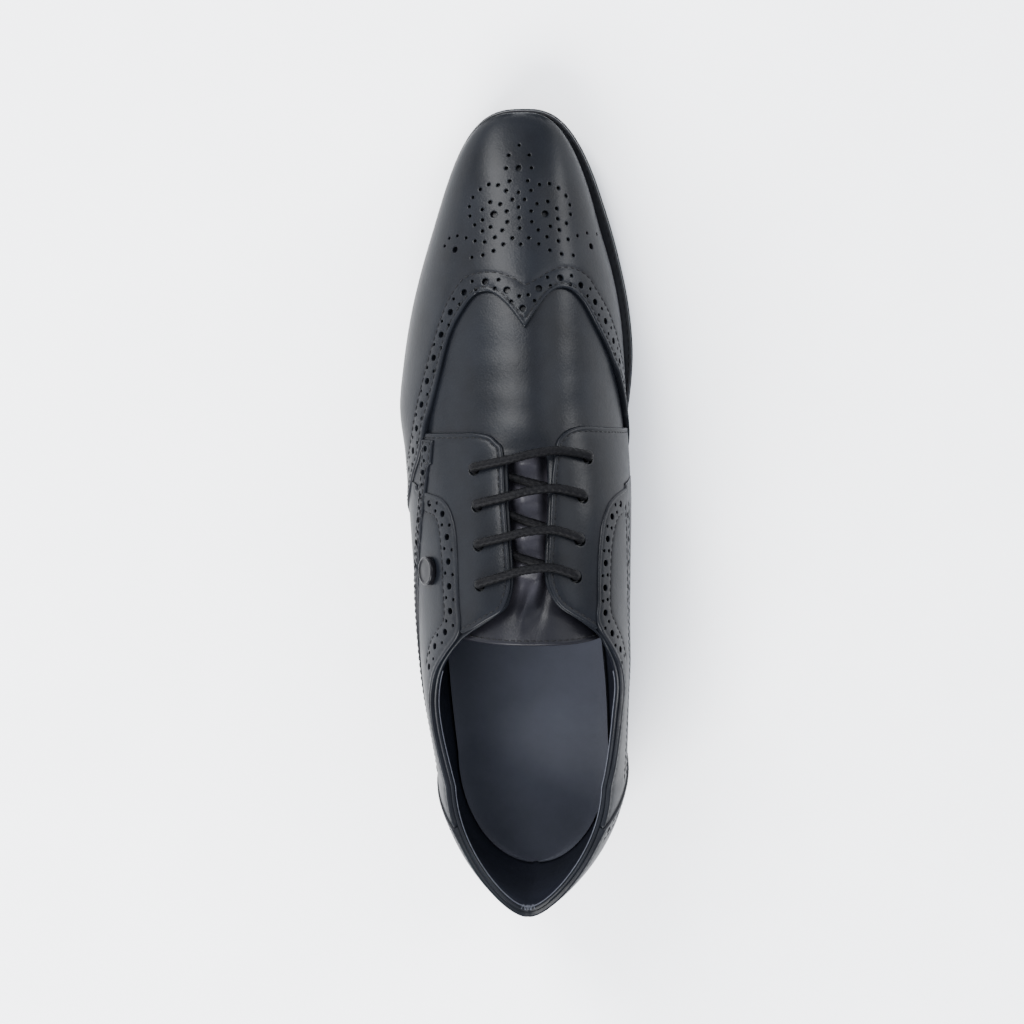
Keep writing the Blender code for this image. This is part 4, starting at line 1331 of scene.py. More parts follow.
HOLES = {
    Side.LATERAL: (Hole(22.7, -0.200), Hole(9.7, -0.193), Hole(-4.2, -0.190), Hole(-18.4, -0.184)),
    Side.MEDIAL: (Hole(26.0, 0.278), Hole(12.6, 0.230), Hole(-2.3, 0.203), Hole(-15.2, 0.178)),
}
FACING_THROATS = {
    Side.LATERAL: table(
        Hole,
        (35.3, -0.260), (35.9, -0.190), (35.2, -0.137), (32.9, -0.109), (31.3, -0.094), (26.5, -0.090),
        (20.0, -0.090), (9.0, -0.086), (-3.5, -0.076), (-10.4, -0.070), (-17.1, -0.065), (-22.4, -0.075),
        (-27.2, -0.100), (-31.0, -0.158), (-34.6, -0.213),
    ),
    Side.MEDIAL: table(
        Hole,
        (34.6, 0.480), (36.0, 0.384), (37.2, 0.304), (37.5, 0.242), (36.8, 0.193), (35.1, 0.156),
        (32.4, 0.127), (26.5, 0.107), (20.0, 0.090), (9.0, 0.074), (-3.5, 0.060), (-10.4, 0.055),
        (-16.0, 0.055), (-21.9, 0.075), (-26.2, 0.113), (-30.1, 0.185), (-32.8, 0.236),
    ),
}
# The facings' lower edges run on under the wing cap and the foxings.
FACING_LOWS = {
    Side.LATERAL: table(
        Hole,
        (33.4, -0.433), (31.0, -0.450), (25.0, -0.495), (17.5, -0.550), (9.0, -0.560), (8.0, -0.440),
        (7.5, -0.345), (3.5, -0.310), (-2.0, -0.297), (-9.0, -0.292), (-16.5, -0.289), (-23.5, -0.287),
        (-29.5, -0.285), (-34.0, -0.278), (-37.3, -0.268),
    ),
    Side.MEDIAL: table(
        Hole,
        (29.4, 0.797), (22.5, 0.865), (16.5, 0.930), (11.0, 0.980), (1.5, 0.980), (1.0, 0.930),
        (3.0, 0.850), (5.5, 0.760), (7.2, 0.660), (7.3, 0.560), (6.6, 0.460), (4.6, 0.390), (-0.5, 0.348),
        (-7.0, 0.328), (-13.0, 0.318), (-18.5, 0.312), (-24.5, 0.307), (-29.2, 0.303), (-32.8, 0.298),
        (-35.2, 0.284),
    ),
}
FOXINGS = {
    Side.LATERAL: table(
        Rib,
        (12.0, -0.500, 11.6, -0.550), (11.9, -0.420, 4.0, -0.660), (11.0, -0.345, -2.5, -0.755),
        (7.6, -0.306, -8.5, -0.860), (1.2, -0.284, -14.5, -0.985), (-7.5, -0.277, -21.0, -0.985),
        (-16.0, -0.274, -28.0, -0.985), (-26.0, -0.272, -36.0, -0.985), (-36.5, -0.273, -44.0, -0.985),
    ),
    Side.MEDIAL: table(
        Rib,
        (11.8, 0.560, 11.6, 0.690), (11.2, 0.460, 9.0, 0.790), (8.7, 0.385, 6.5, 0.890),
        (3.0, 0.336, 3.5, 0.985), (-4.5, 0.313, -5.0, 0.985), (-11.0, 0.303, -14.0, 0.985),
        (-17.0, 0.297, -22.0, 0.985), (-25.0, 0.292, -31.0, 0.985), (-33.8, 0.291, -41.0, 0.985),
    ),
}
FOXING_REAR_Y = (-46.0, -54.0, -63.0, -72.0, -82.0, -92.0, -101.0, -110.0, -116.0)
FOXING_REAR_FOOT_Y = -91.0
# The foxings' perforated strips along their upper edge, and the stitched line under each.
FOXING_STRIPS = {
    Side.LATERAL: (
        (8.0, -0.440), (7.9, -0.390), (5.2, -0.340), (-3.9, -0.322), (-14.1, -0.318),
        (-24.7, -0.316), (-34.5, -0.322), (-40.5, -0.375), (-46.5, -0.430), (-54.0, -0.470),
    ),
    Side.MEDIAL: (
        (7.4, 0.520), (6.4, 0.450), (2.4, 0.396), (-5.5, 0.366), (-15.0, 0.350), (-25.0, 0.345),
        (-33.5, 0.350), (-39.0, 0.410), (-45.0, 0.480), (-52.0, 0.535),
    ),
}
FOXING_SEAMS = {
    Side.LATERAL: (
        (4.6, -0.455), (3.3, -0.382), (-6.0, -0.360), (-20.9, -0.353), (-33.0, -0.356),
        (-38.5, -0.400), (-45.0, -0.458), (-53.5, -0.498),
    ),
    Side.MEDIAL: (
        (3.4, 0.520), (1.6, 0.455), (-6.0, 0.412), (-16.6, 0.396), (-28.9, 0.392), (-35.5, 0.440),
        (-42.0, 0.510), (-50.0, 0.570),
    ),
}
COUNTER = table(
    Drop,
    (-116.8, -91.9), (-124.0, -103.0), (-131.5, -116.0), (-138.0, -128.0), (-143.5, -137.5),
    (-147.6, -144.6), (-150.2, -149.4), (-151.4, -151.4),
)


@dataclass
class Facing:
    """A derby facing with its four lace holes and a single stitched edge."""

    side: Side
    high: float = 1.6
    hole_radius: float = 2.2
    hole_sides: int = 24
    middle: tuple[float, float] = (10.0, 0.2)

    def edges(self) -> tuple[Array, Array, Array]:
        """Flat lines of the throat edge with its rear corner, of the hidden lower edge and of the front."""
        top = drawn(SIDES, FACING_THROATS[self.side])
        low = drawn(SIDES, FACING_LOWS[self.side])[::-1]
        front = even(np.stack([low[-1], top[0]]), 1.0)
        rear = even(np.stack([top[-1], low[0]]), 1.0)
        return np.concatenate([top, rear[1:]]), low, front

    def build(self, seam: Seam) -> Any:
        """Cuts, punches and stitches the facing."""
        punches = [Punch(SIDES.flat(*hole), self.hole_radius, self.hole_sides) for hole in HOLES[self.side]]
        top, low, front = self.edges()
        edge = np.concatenate([front, top[1:]])
        panel = Panel(chain(top, low, front), self.high, punches=punches, rolled=[edge])
        name = f"facing_{self.side.word}"
        piece = panel.piece(f"{name}_calf")
        middle = SIDES.flat(self.middle[0], self.side.value * self.middle[1])
        seam.sew_line(SIDES, panel.seam_beside(edge, middle, [edge]), panel)
        return settle(piece, "overlay", name)


@dataclass
class Foxing:
    """A side panel behind the wing, up to the collar, with its perforated strips."""

    side: Side
    high: float = 1.8
    medial_strip: tuple[Height, ...] = table(
        Height,
        (6.0, 55.0), (-6.0, 56.5), (-20.0, 58.0), (-40.0, 59.0), (-60.0, 58.5), (-80.0, 57.0),
        (-95.0, 56.0), (-104.0, 55.5),
    )
    strip_half: float = 3.2
    lap_end_y: float = -36.0
    upper_start: float = 3.0
    medial_start: float = 5.0
    middle: tuple[float, float] = (-45.0, 0.6)

    def edges(self) -> tuple[Array, Array, Array, Array]:
        """Flat lines of the upper edge with the collar, the tucked rear, the foot and the tucked front."""
        ribs = FOXINGS[self.side]
        middle = self.inside()
        foot = self.side.value * FOOT_V
        collar = [(y, float(LAST.opening(y, self.side))) for y in FOXING_REAR_Y]
        top = drawn(SIDES, [(r.top_y, r.top_v) for r in ribs] + collar, behind_wing=True)
        lean = np.linspace(0, 1, 60)
        y = collar[-1][0] + (FOXING_REAR_FOOT_Y - collar[-1][0]) * lean
        rear = even(SIDES.flat(y, collar[-1][1] + (foot - collar[-1][1]) * lean), 1.0)
        first_foot = next(r.low_y for r in ribs if abs(r.low_v) >= FOOT_V)
        low = even(SIDES.flat(np.linspace(FOXING_REAR_FOOT_Y, first_foot, 200), foot), 1.5)
        front_rows = [(r.low_y, r.low_v) for r in ribs if abs(r.low_v) < FOOT_V][::-1]
        front_rows = [(first_foot, foot)] + front_rows + [(ribs[0].top_y, ribs[0].top_v)]
        front = drawn(SIDES, front_rows, behind_wing=True)
        return top, tucked(rear, middle), low, tucked(front, middle)

    def inside(self) -> Array:
        """A flat point well inside the panel."""
        return SIDES.flat(self.middle[0], self.side.value * self.middle[1])

    def strip_line(self, rise: float) -> Array:
        """Flat line of the medial strip, or of an edge that lies a rise above its middle."""
        y, z = np.array(self.medial_strip).T
        return drawn(SIDES, np.stack([y, LAST.height_line(y, self.side, z + rise)], -1))

    def build(self, seam: Seam) -> Any:
        """Cuts, punches and stitches the foxing."""
        punches = BROGUING.paired(SIDES, drawn(SIDES, FOXING_STRIPS[self.side]), self.upper_start)
        lines = [drawn(SIDES, FOXING_SEAMS[self.side])]
        if self.side is Side.MEDIAL:
            punches += BROGUING.single(SIDES, self.strip_line(0.0), self.medial_start)
            lines += [self.strip_line(rise) for rise in (-self.strip_half, self.strip_half)]
        top, rear, low, front = self.edges()
        on_facing = top[: np.argmin(np.abs(top[:, 0] - SIDES.flat(self.lap_end_y, 0.0)[0]))]
        panel = Panel(
            chain(top, rear, low, front),
            self.high,
            punches=punches,
            rolled=[top],
            lifted=[on_facing],
            lift=0.5,
            grooves=lines,
        )
        name = f"foxing_{self.side.word}"
        piece = panel.piece(f"{name}_calf")
        panel.grooves.append(panel.seam_beside(top, self.inside(), [top]))
        for line in panel.grooves:
            seam.sew_line(SIDES, line, panel)
        return settle(piece, "overlay", name)


@dataclass
class SideStrip:
    """The punched band on the lateral side: square-ended on the facing, over the foxing, to the counter."""

    high: float = 2.55
    low: float = 1.45
    edge_stitch: float = 1.0
    first_hole: float = 3.4
    square_end: Line = ((31.2, -0.427), (31.7, -0.364), (22.8, -0.389), (21.9, -0.404))
    upper: Line = (
        (21.9, -0.404), (12.6, -0.431), (1.2, -0.470), (-9.4, -0.502), (-21.3, -0.540), (-33.0, -0.578),
        (-46.0, -0.612), (-60.0, -0.644), (-76.0, -0.668), (-92.0, -0.684), (-104.0, -0.692),
    )
    lower: Line = (
        (31.2, -0.427), (21.5, -0.453), (11.3, -0.480), (0.7, -0.514), (-11.6, -0.556), (-22.2, -0.594),
        (-34.0, -0.634), (-47.0, -0.670), (-61.0, -0.700), (-77.0, -0.724), (-92.0, -0.739),
        (-104.0, -0.747),
    )

    def build(self, seam: Seam) -> Any:
        """Cuts, punches and stitches the band."""
        upper = drawn(SIDES, self.upper)
        lower = drawn(SIDES, self.lower)
        corners = SIDES.flat(*np.array(self.square_end).T)
        end = np.concatenate([even(np.stack(pair), 1.0)[:-1] for pair in zip(corners[:-1], corners[1:])])
        rear = even(np.stack([upper[-1], lower[-1]]), 1.0)
        middle = even(upper, 1.0)
        reach = np.interp(middle[:, 0], lower[::-1, 0], lower[::-1, 1])
        line = np.stack([middle[:, 0], (middle[:, 1] + reach) / 2], -1)
        ahead = (corners[0] + corners[1]) / 2
        line = np.concatenate([even(np.stack([ahead, line[0]]), 1.0)[:-1], line])
        panel = Panel(
            chain(end, upper, rear, lower[::-1]),
            self.high,
            self.low,
            punches=BROGUING.single(SIDES, line, self.first_hole),
            roll_depth=0.6,
            groove_at=self.edge_stitch,
            groove_depth=0.14,
            groove_width=0.35,
            rows=(0.12, 0.36, 0.7, 1.0, 1.35, 1.9),
        )
        piece = panel.piece("side_strip_calf")
        seam.sew_line(SIDES, panel.inset_line(self.edge_stitch), panel)
        return settle(piece, "overlay")


@dataclass
class HeelCounter:
    """The counter round the back of the heel, with a perforated line down each front edge."""

    high: float = 1.9
    row_inset: float = 4.2
    row_start: float = 2.0
    row_trim: tuple[int, int] = (4, -6)
    seam_inset_share: float = 0.75

    def outline(self) -> tuple[Array, Array]:
        """Flat outline round the back, collar from lateral to medial, then the foot; and the collar alone."""
        collar = []
        foot = []
        for side in Side:
            drops = COUNTER if side is Side.LATERAL else COUNTER[::-1]
            top = [HEEL.flat(d.collar_y, float(LAST.opening(d.collar_y, side))) for d in drops]
            low = [HEEL.flat(d.foot_y, side.value * FOOT_V) for d in drops]
            collar += top if side is Side.LATERAL else top[1:]
            foot += low if side is Side.LATERAL else low[1:]
        collar = spline(np.array(collar), 1.0)
        foot = spline(np.array(foot), 1.4)
        lateral, medial = (self.front_edge(side) for side in Side)
        return chain(collar, medial, foot[::-1], lateral[::-1]), collar

    def front_edge(self, side: Side) -> Array:
        """Front edge of the counter on one side, from the collar to the foot."""
        lean = np.linspace(0, 1, 60)
        first = COUNTER[0]
        top_v = float(LAST.opening(first.collar_y, side))
        y = first.collar_y + (first.foot_y - first.collar_y) * lean
        return even(HEEL.flat(y, top_v + (side.value * FOOT_V - top_v) * lean), 1.0)

    def build(self, seam: Seam) -> Any:
        """Cuts, punches and stitches the counter."""
        punches = []
        fronts = [self.front_edge(side) for side in Side]
        rows = []
        for side, front in zip(Side, fronts):
            inset = np.array((side.value * self.row_inset, 0.0))
            line = front[slice(*self.row_trim)] - inset
            punches += BROGUING.paired(HEEL, line, self.row_start)
            rows.append(line - inset * self.seam_inset_share)
        outline, collar = self.outline()
        edge = np.concatenate([fronts[0][::-1], collar[1:-1], fronts[1]])
        panel = Panel(
            outline, self.high, chart=HEEL, punches=punches, rolled=[edge], lifted=fronts, grooves=rows
        )
        piece = panel.piece("heel_counter_calf")
        line = panel.inset_line(panel.groove_at)
        panel.grooves.append(line[line[:, 1] < SEAM_FOOT * HEEL.girth])
        for row in panel.grooves:
            seam.sew_line(HEEL, row, panel)
        return settle(piece, "overlay", "heel_counter")


def sheet_shell(outer: Array, inner: Array) -> tuple[Array, Faces]:
    """Points and faces of a sheet between two grids, closed round its edges."""
    rows, columns = outer.shape[:2]
    count = rows * columns
    faces = grid_faces(rows, columns) + grid_faces(rows, columns, count)
    loops = (
        [i * columns for i in range(rows)],
        [i * columns + columns - 1 for i in range(rows)],
        list(range(columns)),
        [(rows - 1) * columns + j for j in range(columns)],
    )
    for loop in loops:
        faces += [(a, b, b + count, a + count) for a, b in zip(loop[:-1], loop[1:])]
    return np.concatenate([outer.reshape(-1, 3), inner.reshape(-1, 3)]), faces


class Flap(NamedTuple):
    """One section of the tongue: how far its face lies below the last, and its two side edges."""

    y: float
    depth: float
    lateral: float
    medial: float


@dataclass
class Tongue:
    """The tongue under the facings: soft calf with a stitched top edge and a standing fold at its middle."""

    thick: float = 2.0
    along: int = 130
    across: int = 70
    rounding: float = 1.3
    fold_height: float = 2.5
    fold_width: float = 0.022
    fold_y: float = -21.0
    fold_reach: float = 9.0
    spine_y: float = -20.0
    spine_v: float = 0.012
    spine_lean: float = 0.0032
    dent_depth: float = 1.7
    dent_v: float = 0.05
    fade_y: float = -30.0
    fade_length: float = 14.0
    side_drop: float = 2.6
    side_shift: float = 0.006
    side_width: float = 0.068
    puff: float = 1.8
    puff_pitch: float = 13.8
    puff_y: float = 10.7
    puff_end_y: float = 30.0
    puff_fade: float = 6.0
    edge_start: float = 0.02
    edge_share: float = 0.02
    stitch_inset: float = 1.9
    stitch_ends: float = 0.02
    rows: tuple[Flap, ...] = table(
        Flap,
        (-40.5, 2.9, -0.335, 0.410), (-34.0, 4.0, -0.300, 0.345), (-26.0, 5.6, -0.28, 0.29),
        (-15.0, 6.2, -0.27, 0.28), (0.0, 6.2, -0.26, 0.29), (15.0, 6.2, -0.26, 0.31),
        (27.0, 6.1, -0.25, 0.32), (33.0, 4.4, -0.20, 0.24), (38.0, 3.2, -0.10, 0.12),
    )

    def relief(self, y: Array, v: Array) -> Array:
        """The fold that the laces press up, puffs between the laces and the fall to both sides."""
        spine = self.spine_v + self.spine_lean * (y - self.spine_y)
        reach = np.exp(-(((y - self.fold_y) / self.fold_reach) ** 2))
        fold = self.fold_height * np.exp(-(((v - spine) / self.fold_width) ** 2))
        dent = self.dent_depth * np.exp(-(((v - spine - self.dent_v) / self.fold_width) ** 2))
        fade = np.clip((y - self.fade_y) / self.fade_length, 0, 1)
        middle = np.exp(-(((v + self.side_shift) / self.side_width) ** 4))
        puff = self.puff * np.cos(math.pi * (y - self.puff_y) / self.puff_pitch) ** 2
        puff = puff * np.clip((self.puff_end_y - y) / self.puff_fade, 0, 1)
        return reach * (fold - dent) + fade * (puff * middle - self.side_drop * (1 - middle))

    def build(self, seam: Seam) -> Any:
        """Builds and stitches the tongue."""
        y = np.linspace(self.rows[0].y, self.rows[-1].y, self.along + 1)[:, None]
        lateral, medial, depth = (from_table(self.rows, name, y) for name in ("lateral", "medial", "depth"))
        t = np.linspace(0, 1, self.across + 1)[None, :]
        v = lateral + (medial - lateral) * t
        middle = -depth - self.thick / 2 + self.relief(y, v)
        edge = np.minimum(np.minimum(v - lateral, medial - v) * SIDES.girth, y - y[0] + self.edge_start)
        share = np.clip(edge / self.rounding, self.edge_share, 1)
        half = self.thick / 2 * np.sqrt(1 - (1 - share) ** 2)
        outer, inner = (LAST.point(LAST.station_of(y), v, middle + sign * half) for sign in (1.0, -1.0))
        piece = make_piece("tongue_calf", *sheet_shell(outer, inner), TONGUE_CALF, 60.0)
        top = self.rows[0]
        stitch_y = top.y + self.stitch_inset
        across = np.linspace(top.lateral + self.stitch_ends, top.medial - self.stitch_ends, 120)
        line = SIDES.flat(stitch_y, across)
        seam.sew_line(SIDES, line, -float(from_table(self.rows, "depth", stitch_y)))
        return settle(piece, "tongue", "tongue")


def tube(path: Array, radius: Array, sides: int) -> tuple[Array, Faces]:
    """A tube along a path.

    Args:
        path: Points along the middle.
        radius: Radius by point and side.
        sides: Count of sides.

    Returns:
        Points, and faces with closed ends.
    """
    ahead = unit(np.gradient(path, axis=0))
    first = np.empty_like(path)
    first[0] = unit(np.cross(ahead[0], (0.0, 0.0, 1.0)))
    for k in range(1, len(path)):
        first[k] = unit(first[k - 1] - ahead[k] * (first[k - 1] @ ahead[k]))
    second = np.cross(ahead, first)
    angle = np.linspace(0, 2 * math.pi, sides, endpoint=False)
    ring = np.cos(angle)[None, :, None] * first[:, None] + np.sin(angle)[None, :, None] * second[:, None]
    points = (path[:, None] + ring * radius[..., None]).reshape(-1, 3)
    ends = [tuple(range(sides)), tuple(range((len(path) - 1) * sides, len(path) * sides))]
    return points, ring_faces(sides, len(path)) + ends


@dataclass
class TopBead:
    """A thin bead let in along the inside of the topline, with a small bar tack at the back."""

    front_y: float = -54.0
    offset: float = -2.05
    rise: float = 0.2
    girth: float = 85.0
    radius: float = 0.23
    step: float = 0.8
    sides: int = 8
    tack_radius: float = 0.24
    tack_turns: int = 9
    tack_reach: float = 0.12
    tack_rise: float = 0.75
    tack_crown: float = -0.9
    tack_drop: float = 0.4
    tack_inner: float = -2.45

    def place(self, side: Side, station: Array, drop: Any, offset: Any) -> Array:
        """Points along the topline at some stations, dropped below its edge and set in from the last."""
        edge = LAST.opening(LAST.station(station, 0.0)[0], side)
        return LAST.point(station, edge + side.value * np.asarray(drop) / self.girth, offset)

    def build(self) -> Any:
        """Builds the bead round the collar and the zigzag of the tack."""
        stations = np.linspace(float(LAST.station_of(self.front_y)), -1, 160)
        lateral, medial = (self.place(side, stations, -self.rise, self.offset) for side in Side)
        bead = even(np.concatenate([lateral, medial[-2::-1]]), self.step)
        turns = np.linspace(-1, 1, self.tack_turns)
        inside = np.arange(self.tack_turns) % 2 == 1
        drops = np.where(inside, self.tack_drop, -self.tack_rise)
        depths = np.where(inside, self.tack_inner, self.tack_crown)
        along = -1 + self.tack_reach * np.abs(turns)
        left, right = (self.place(side, along, drops, depths) for side in Side)
        tack = spline(np.concatenate([left[turns < 0], right[turns >= 0]]), self.tack_radius)
        cords = ((bead, self.radius), (tack, self.tack_radius))
        tubes = [tube(path, np.full((len(path), self.sides), radius), self.sides) for path, radius in cords]
        return settle(make_piece("topline_bead", *joined(tubes), BEAD_CORD, 75.0), "upper")


@dataclass
class Lacing:
    """One round braided cord, waxed: four bars over the throat with diagonals beneath them."""

    radius: float = 1.72
    strand_depth: float = 0.15
    strand_pitch: float = 2.6
    strands: int = 4
    strand_sharp: float = 2.2
    sides: int = 24
    step: float = 0.42
    turn: float = 2.2
    end: float = 2.5
    bow: float = 5.6
    bow_skew: float = 0.8
    facing_top: float = 1.3
    wall_under: float = -1.9
    wall: float = 2.0

    def stance(self, hole: Hole) -> tuple[Array, Array]:
        """A hole's place on the last and its outward direction."""
        flat = SIDES.flat(*hole)
        return SIDES.place(flat), SIDES.axes(flat)[2]

    def hole_turn(self, hole: Hole, toward: Array, over: bool) -> list[Array]:
        """Lace through a hole and bent towards the next one, from the wall outwards."""
        centre, axis = self.stance(hole)
        heading = toward - centre
        heading = unit(heading - axis * (heading @ axis))
        base, sign = (self.facing_top, 1.0) if over else (self.wall_under, -1.0)
        return [
            centre + axis * (base + sign * self.turn * math.sin(a)) + heading * self.turn * (1 - math.cos(a))
            for a in np.linspace(0, math.pi / 2, 3)
        ]

    def run_between(self, start: Hole, end: Hole, offset: float, bow: float) -> Array:
        """Lace following the last's form between two holes, bowed towards the toe in its middle."""
        t = np.linspace(0, 1, 8)[1:-1]
        y = start.y + (end.y - start.y) * t + bow * np.sin(math.pi * t**self.bow_skew)
        return LAST.point(LAST.station_of(y), start.v + (end.v - start.v) * t, offset)

    def path(self) -> Array:
        """The lace from its hidden medial end at the toe to its hidden lateral end at the top."""
        over = self.facing_top + self.turn
        under = self.wall_under - self.turn
        pairs = list(zip(HOLES[Side.MEDIAL], HOLES[Side.LATERAL]))
        centre, axis = self.stance(pairs[0][0])
        path = [centre - axis * (self.wall + self.end)]
        for number, (medial, lateral) in enumerate(pairs):
            bar = self.run_between(medial, lateral, over, self.bow)
            path += self.hole_turn(medial, bar[1], True) + list(bar[1:-1])
            path += self.hole_turn(lateral, bar[-2], True)[::-1]
            if number + 1 == len(pairs):
                break
            following = pairs[number + 1][0]
            diagonal = self.run_between(lateral, following, under, 0.0)
            path += self.hole_turn(lateral, diagonal[1], False) + list(diagonal[1:-1])
            path += self.hole_turn(following, diagonal[-2], False)[::-1]
        centre, axis = self.stance(pairs[-1][1])
        path.append(centre - axis * (self.wall + self.end))
        return spline(path, self.step)

    def build(self) -> Any:
        """Builds the braided cord."""
        path = self.path()
        length = run_of(path)[:, None]
        angle = np.linspace(0, 2 * math.pi, self.sides, endpoint=False)[None, :]
        wind = 2 * math.pi * length / (self.strand_pitch * self.strands)
        left = np.abs(np.cos(self.strands / 2 * (angle + wind)))
        right = np.abs(np.cos(self.strands / 2 * (angle - wind)))
        radius = self.radius - self.strand_depth * (1 - np.maximum(left, right)) * self.strand_sharp
        cord = tube(path, np.broadcast_to(radius, (len(path), self.sides)), self.sides)
        return settle(make_piece("laces_cord", *cord, LACE_CORD, 75.0), "laces", "laces")


class Turning(NamedTuple):
    """One ring of a turned form."""

    radius: float
    height: float


@dataclass
class SideStud:
    """The plain round stud on the lateral foxing: a low cap with a rolled rim."""

    hole: Hole = Hole(-17.1, -0.430)
    base: float = 1.85
    sides: int = 56
    profile: tuple[Turning, ...] = table(
        Turning,
        (5.3, 0.0), (5.45, 0.25), (5.45, 1.75), (5.3, 2.1), (4.9, 2.25), (4.5, 2.1), (4.3, 1.85),
        (3.9, 1.8), (2.0, 1.95), (0.3, 2.0),
    )

    def build(self) -> Any:
        """Turns the stud ring by ring, closes it and sets it on the leather."""
        bpy.ops.object.select_all(action="DESELECT")
        first = self.profile[0]
        bpy.ops.mesh.primitive_circle_add(vertices=self.sides, radius=first.radius, fill_type="NGON")
        piece = bpy.context.object
        bpy.ops.object.mode_set(mode="EDIT")
        bpy.ops.mesh.select_all(action="SELECT")
        for below, ring in zip(self.profile[:-1], self.profile[1:]):
            rise = (0, 0, ring.height - below.height)
            bpy.ops.mesh.extrude_region_move(TRANSFORM_OT_translate={"value": rise})
            scale = ring.radius / below.radius
            bpy.ops.transform.resize(value=(scale, scale, 1.0))
        bpy.ops.mesh.select_all(action="SELECT")
        bpy.ops.mesh.normals_make_consistent(inside=False)
        bpy.ops.object.mode_set(mode="OBJECT")
        flat = SIDES.flat(*self.hole)
        axis = SIDES.axes(flat)[2]
        side = unit(np.cross(axis, (0.0, 1.0, 0.0)))
        form = np.array([vertex.co[:] for vertex in piece.data.vertices])
        placed = SIDES.place(flat) + axis * self.base + form @ np.stack([side, np.cross(axis, side), axis])
        piece.data.vertices.foreach_set("co", ((placed - ORIGIN) * MM).astype(np.float32).reshape(-1))
        piece.data.update()
        piece.name = piece.data.name = "side_stud_cap"
        piece.data.shade_smooth()
        piece.data.set_sharp_from_angle(angle=math.radians(60))
        piece.data.materials.append(STUD_ENAMEL.material())
        return settle(piece, "side_stud", "side_stud")


class Level(NamedTuple):
    """One ring of a stacked slab: how far it is drawn in and how high it lies."""

    inset: float
    height: float


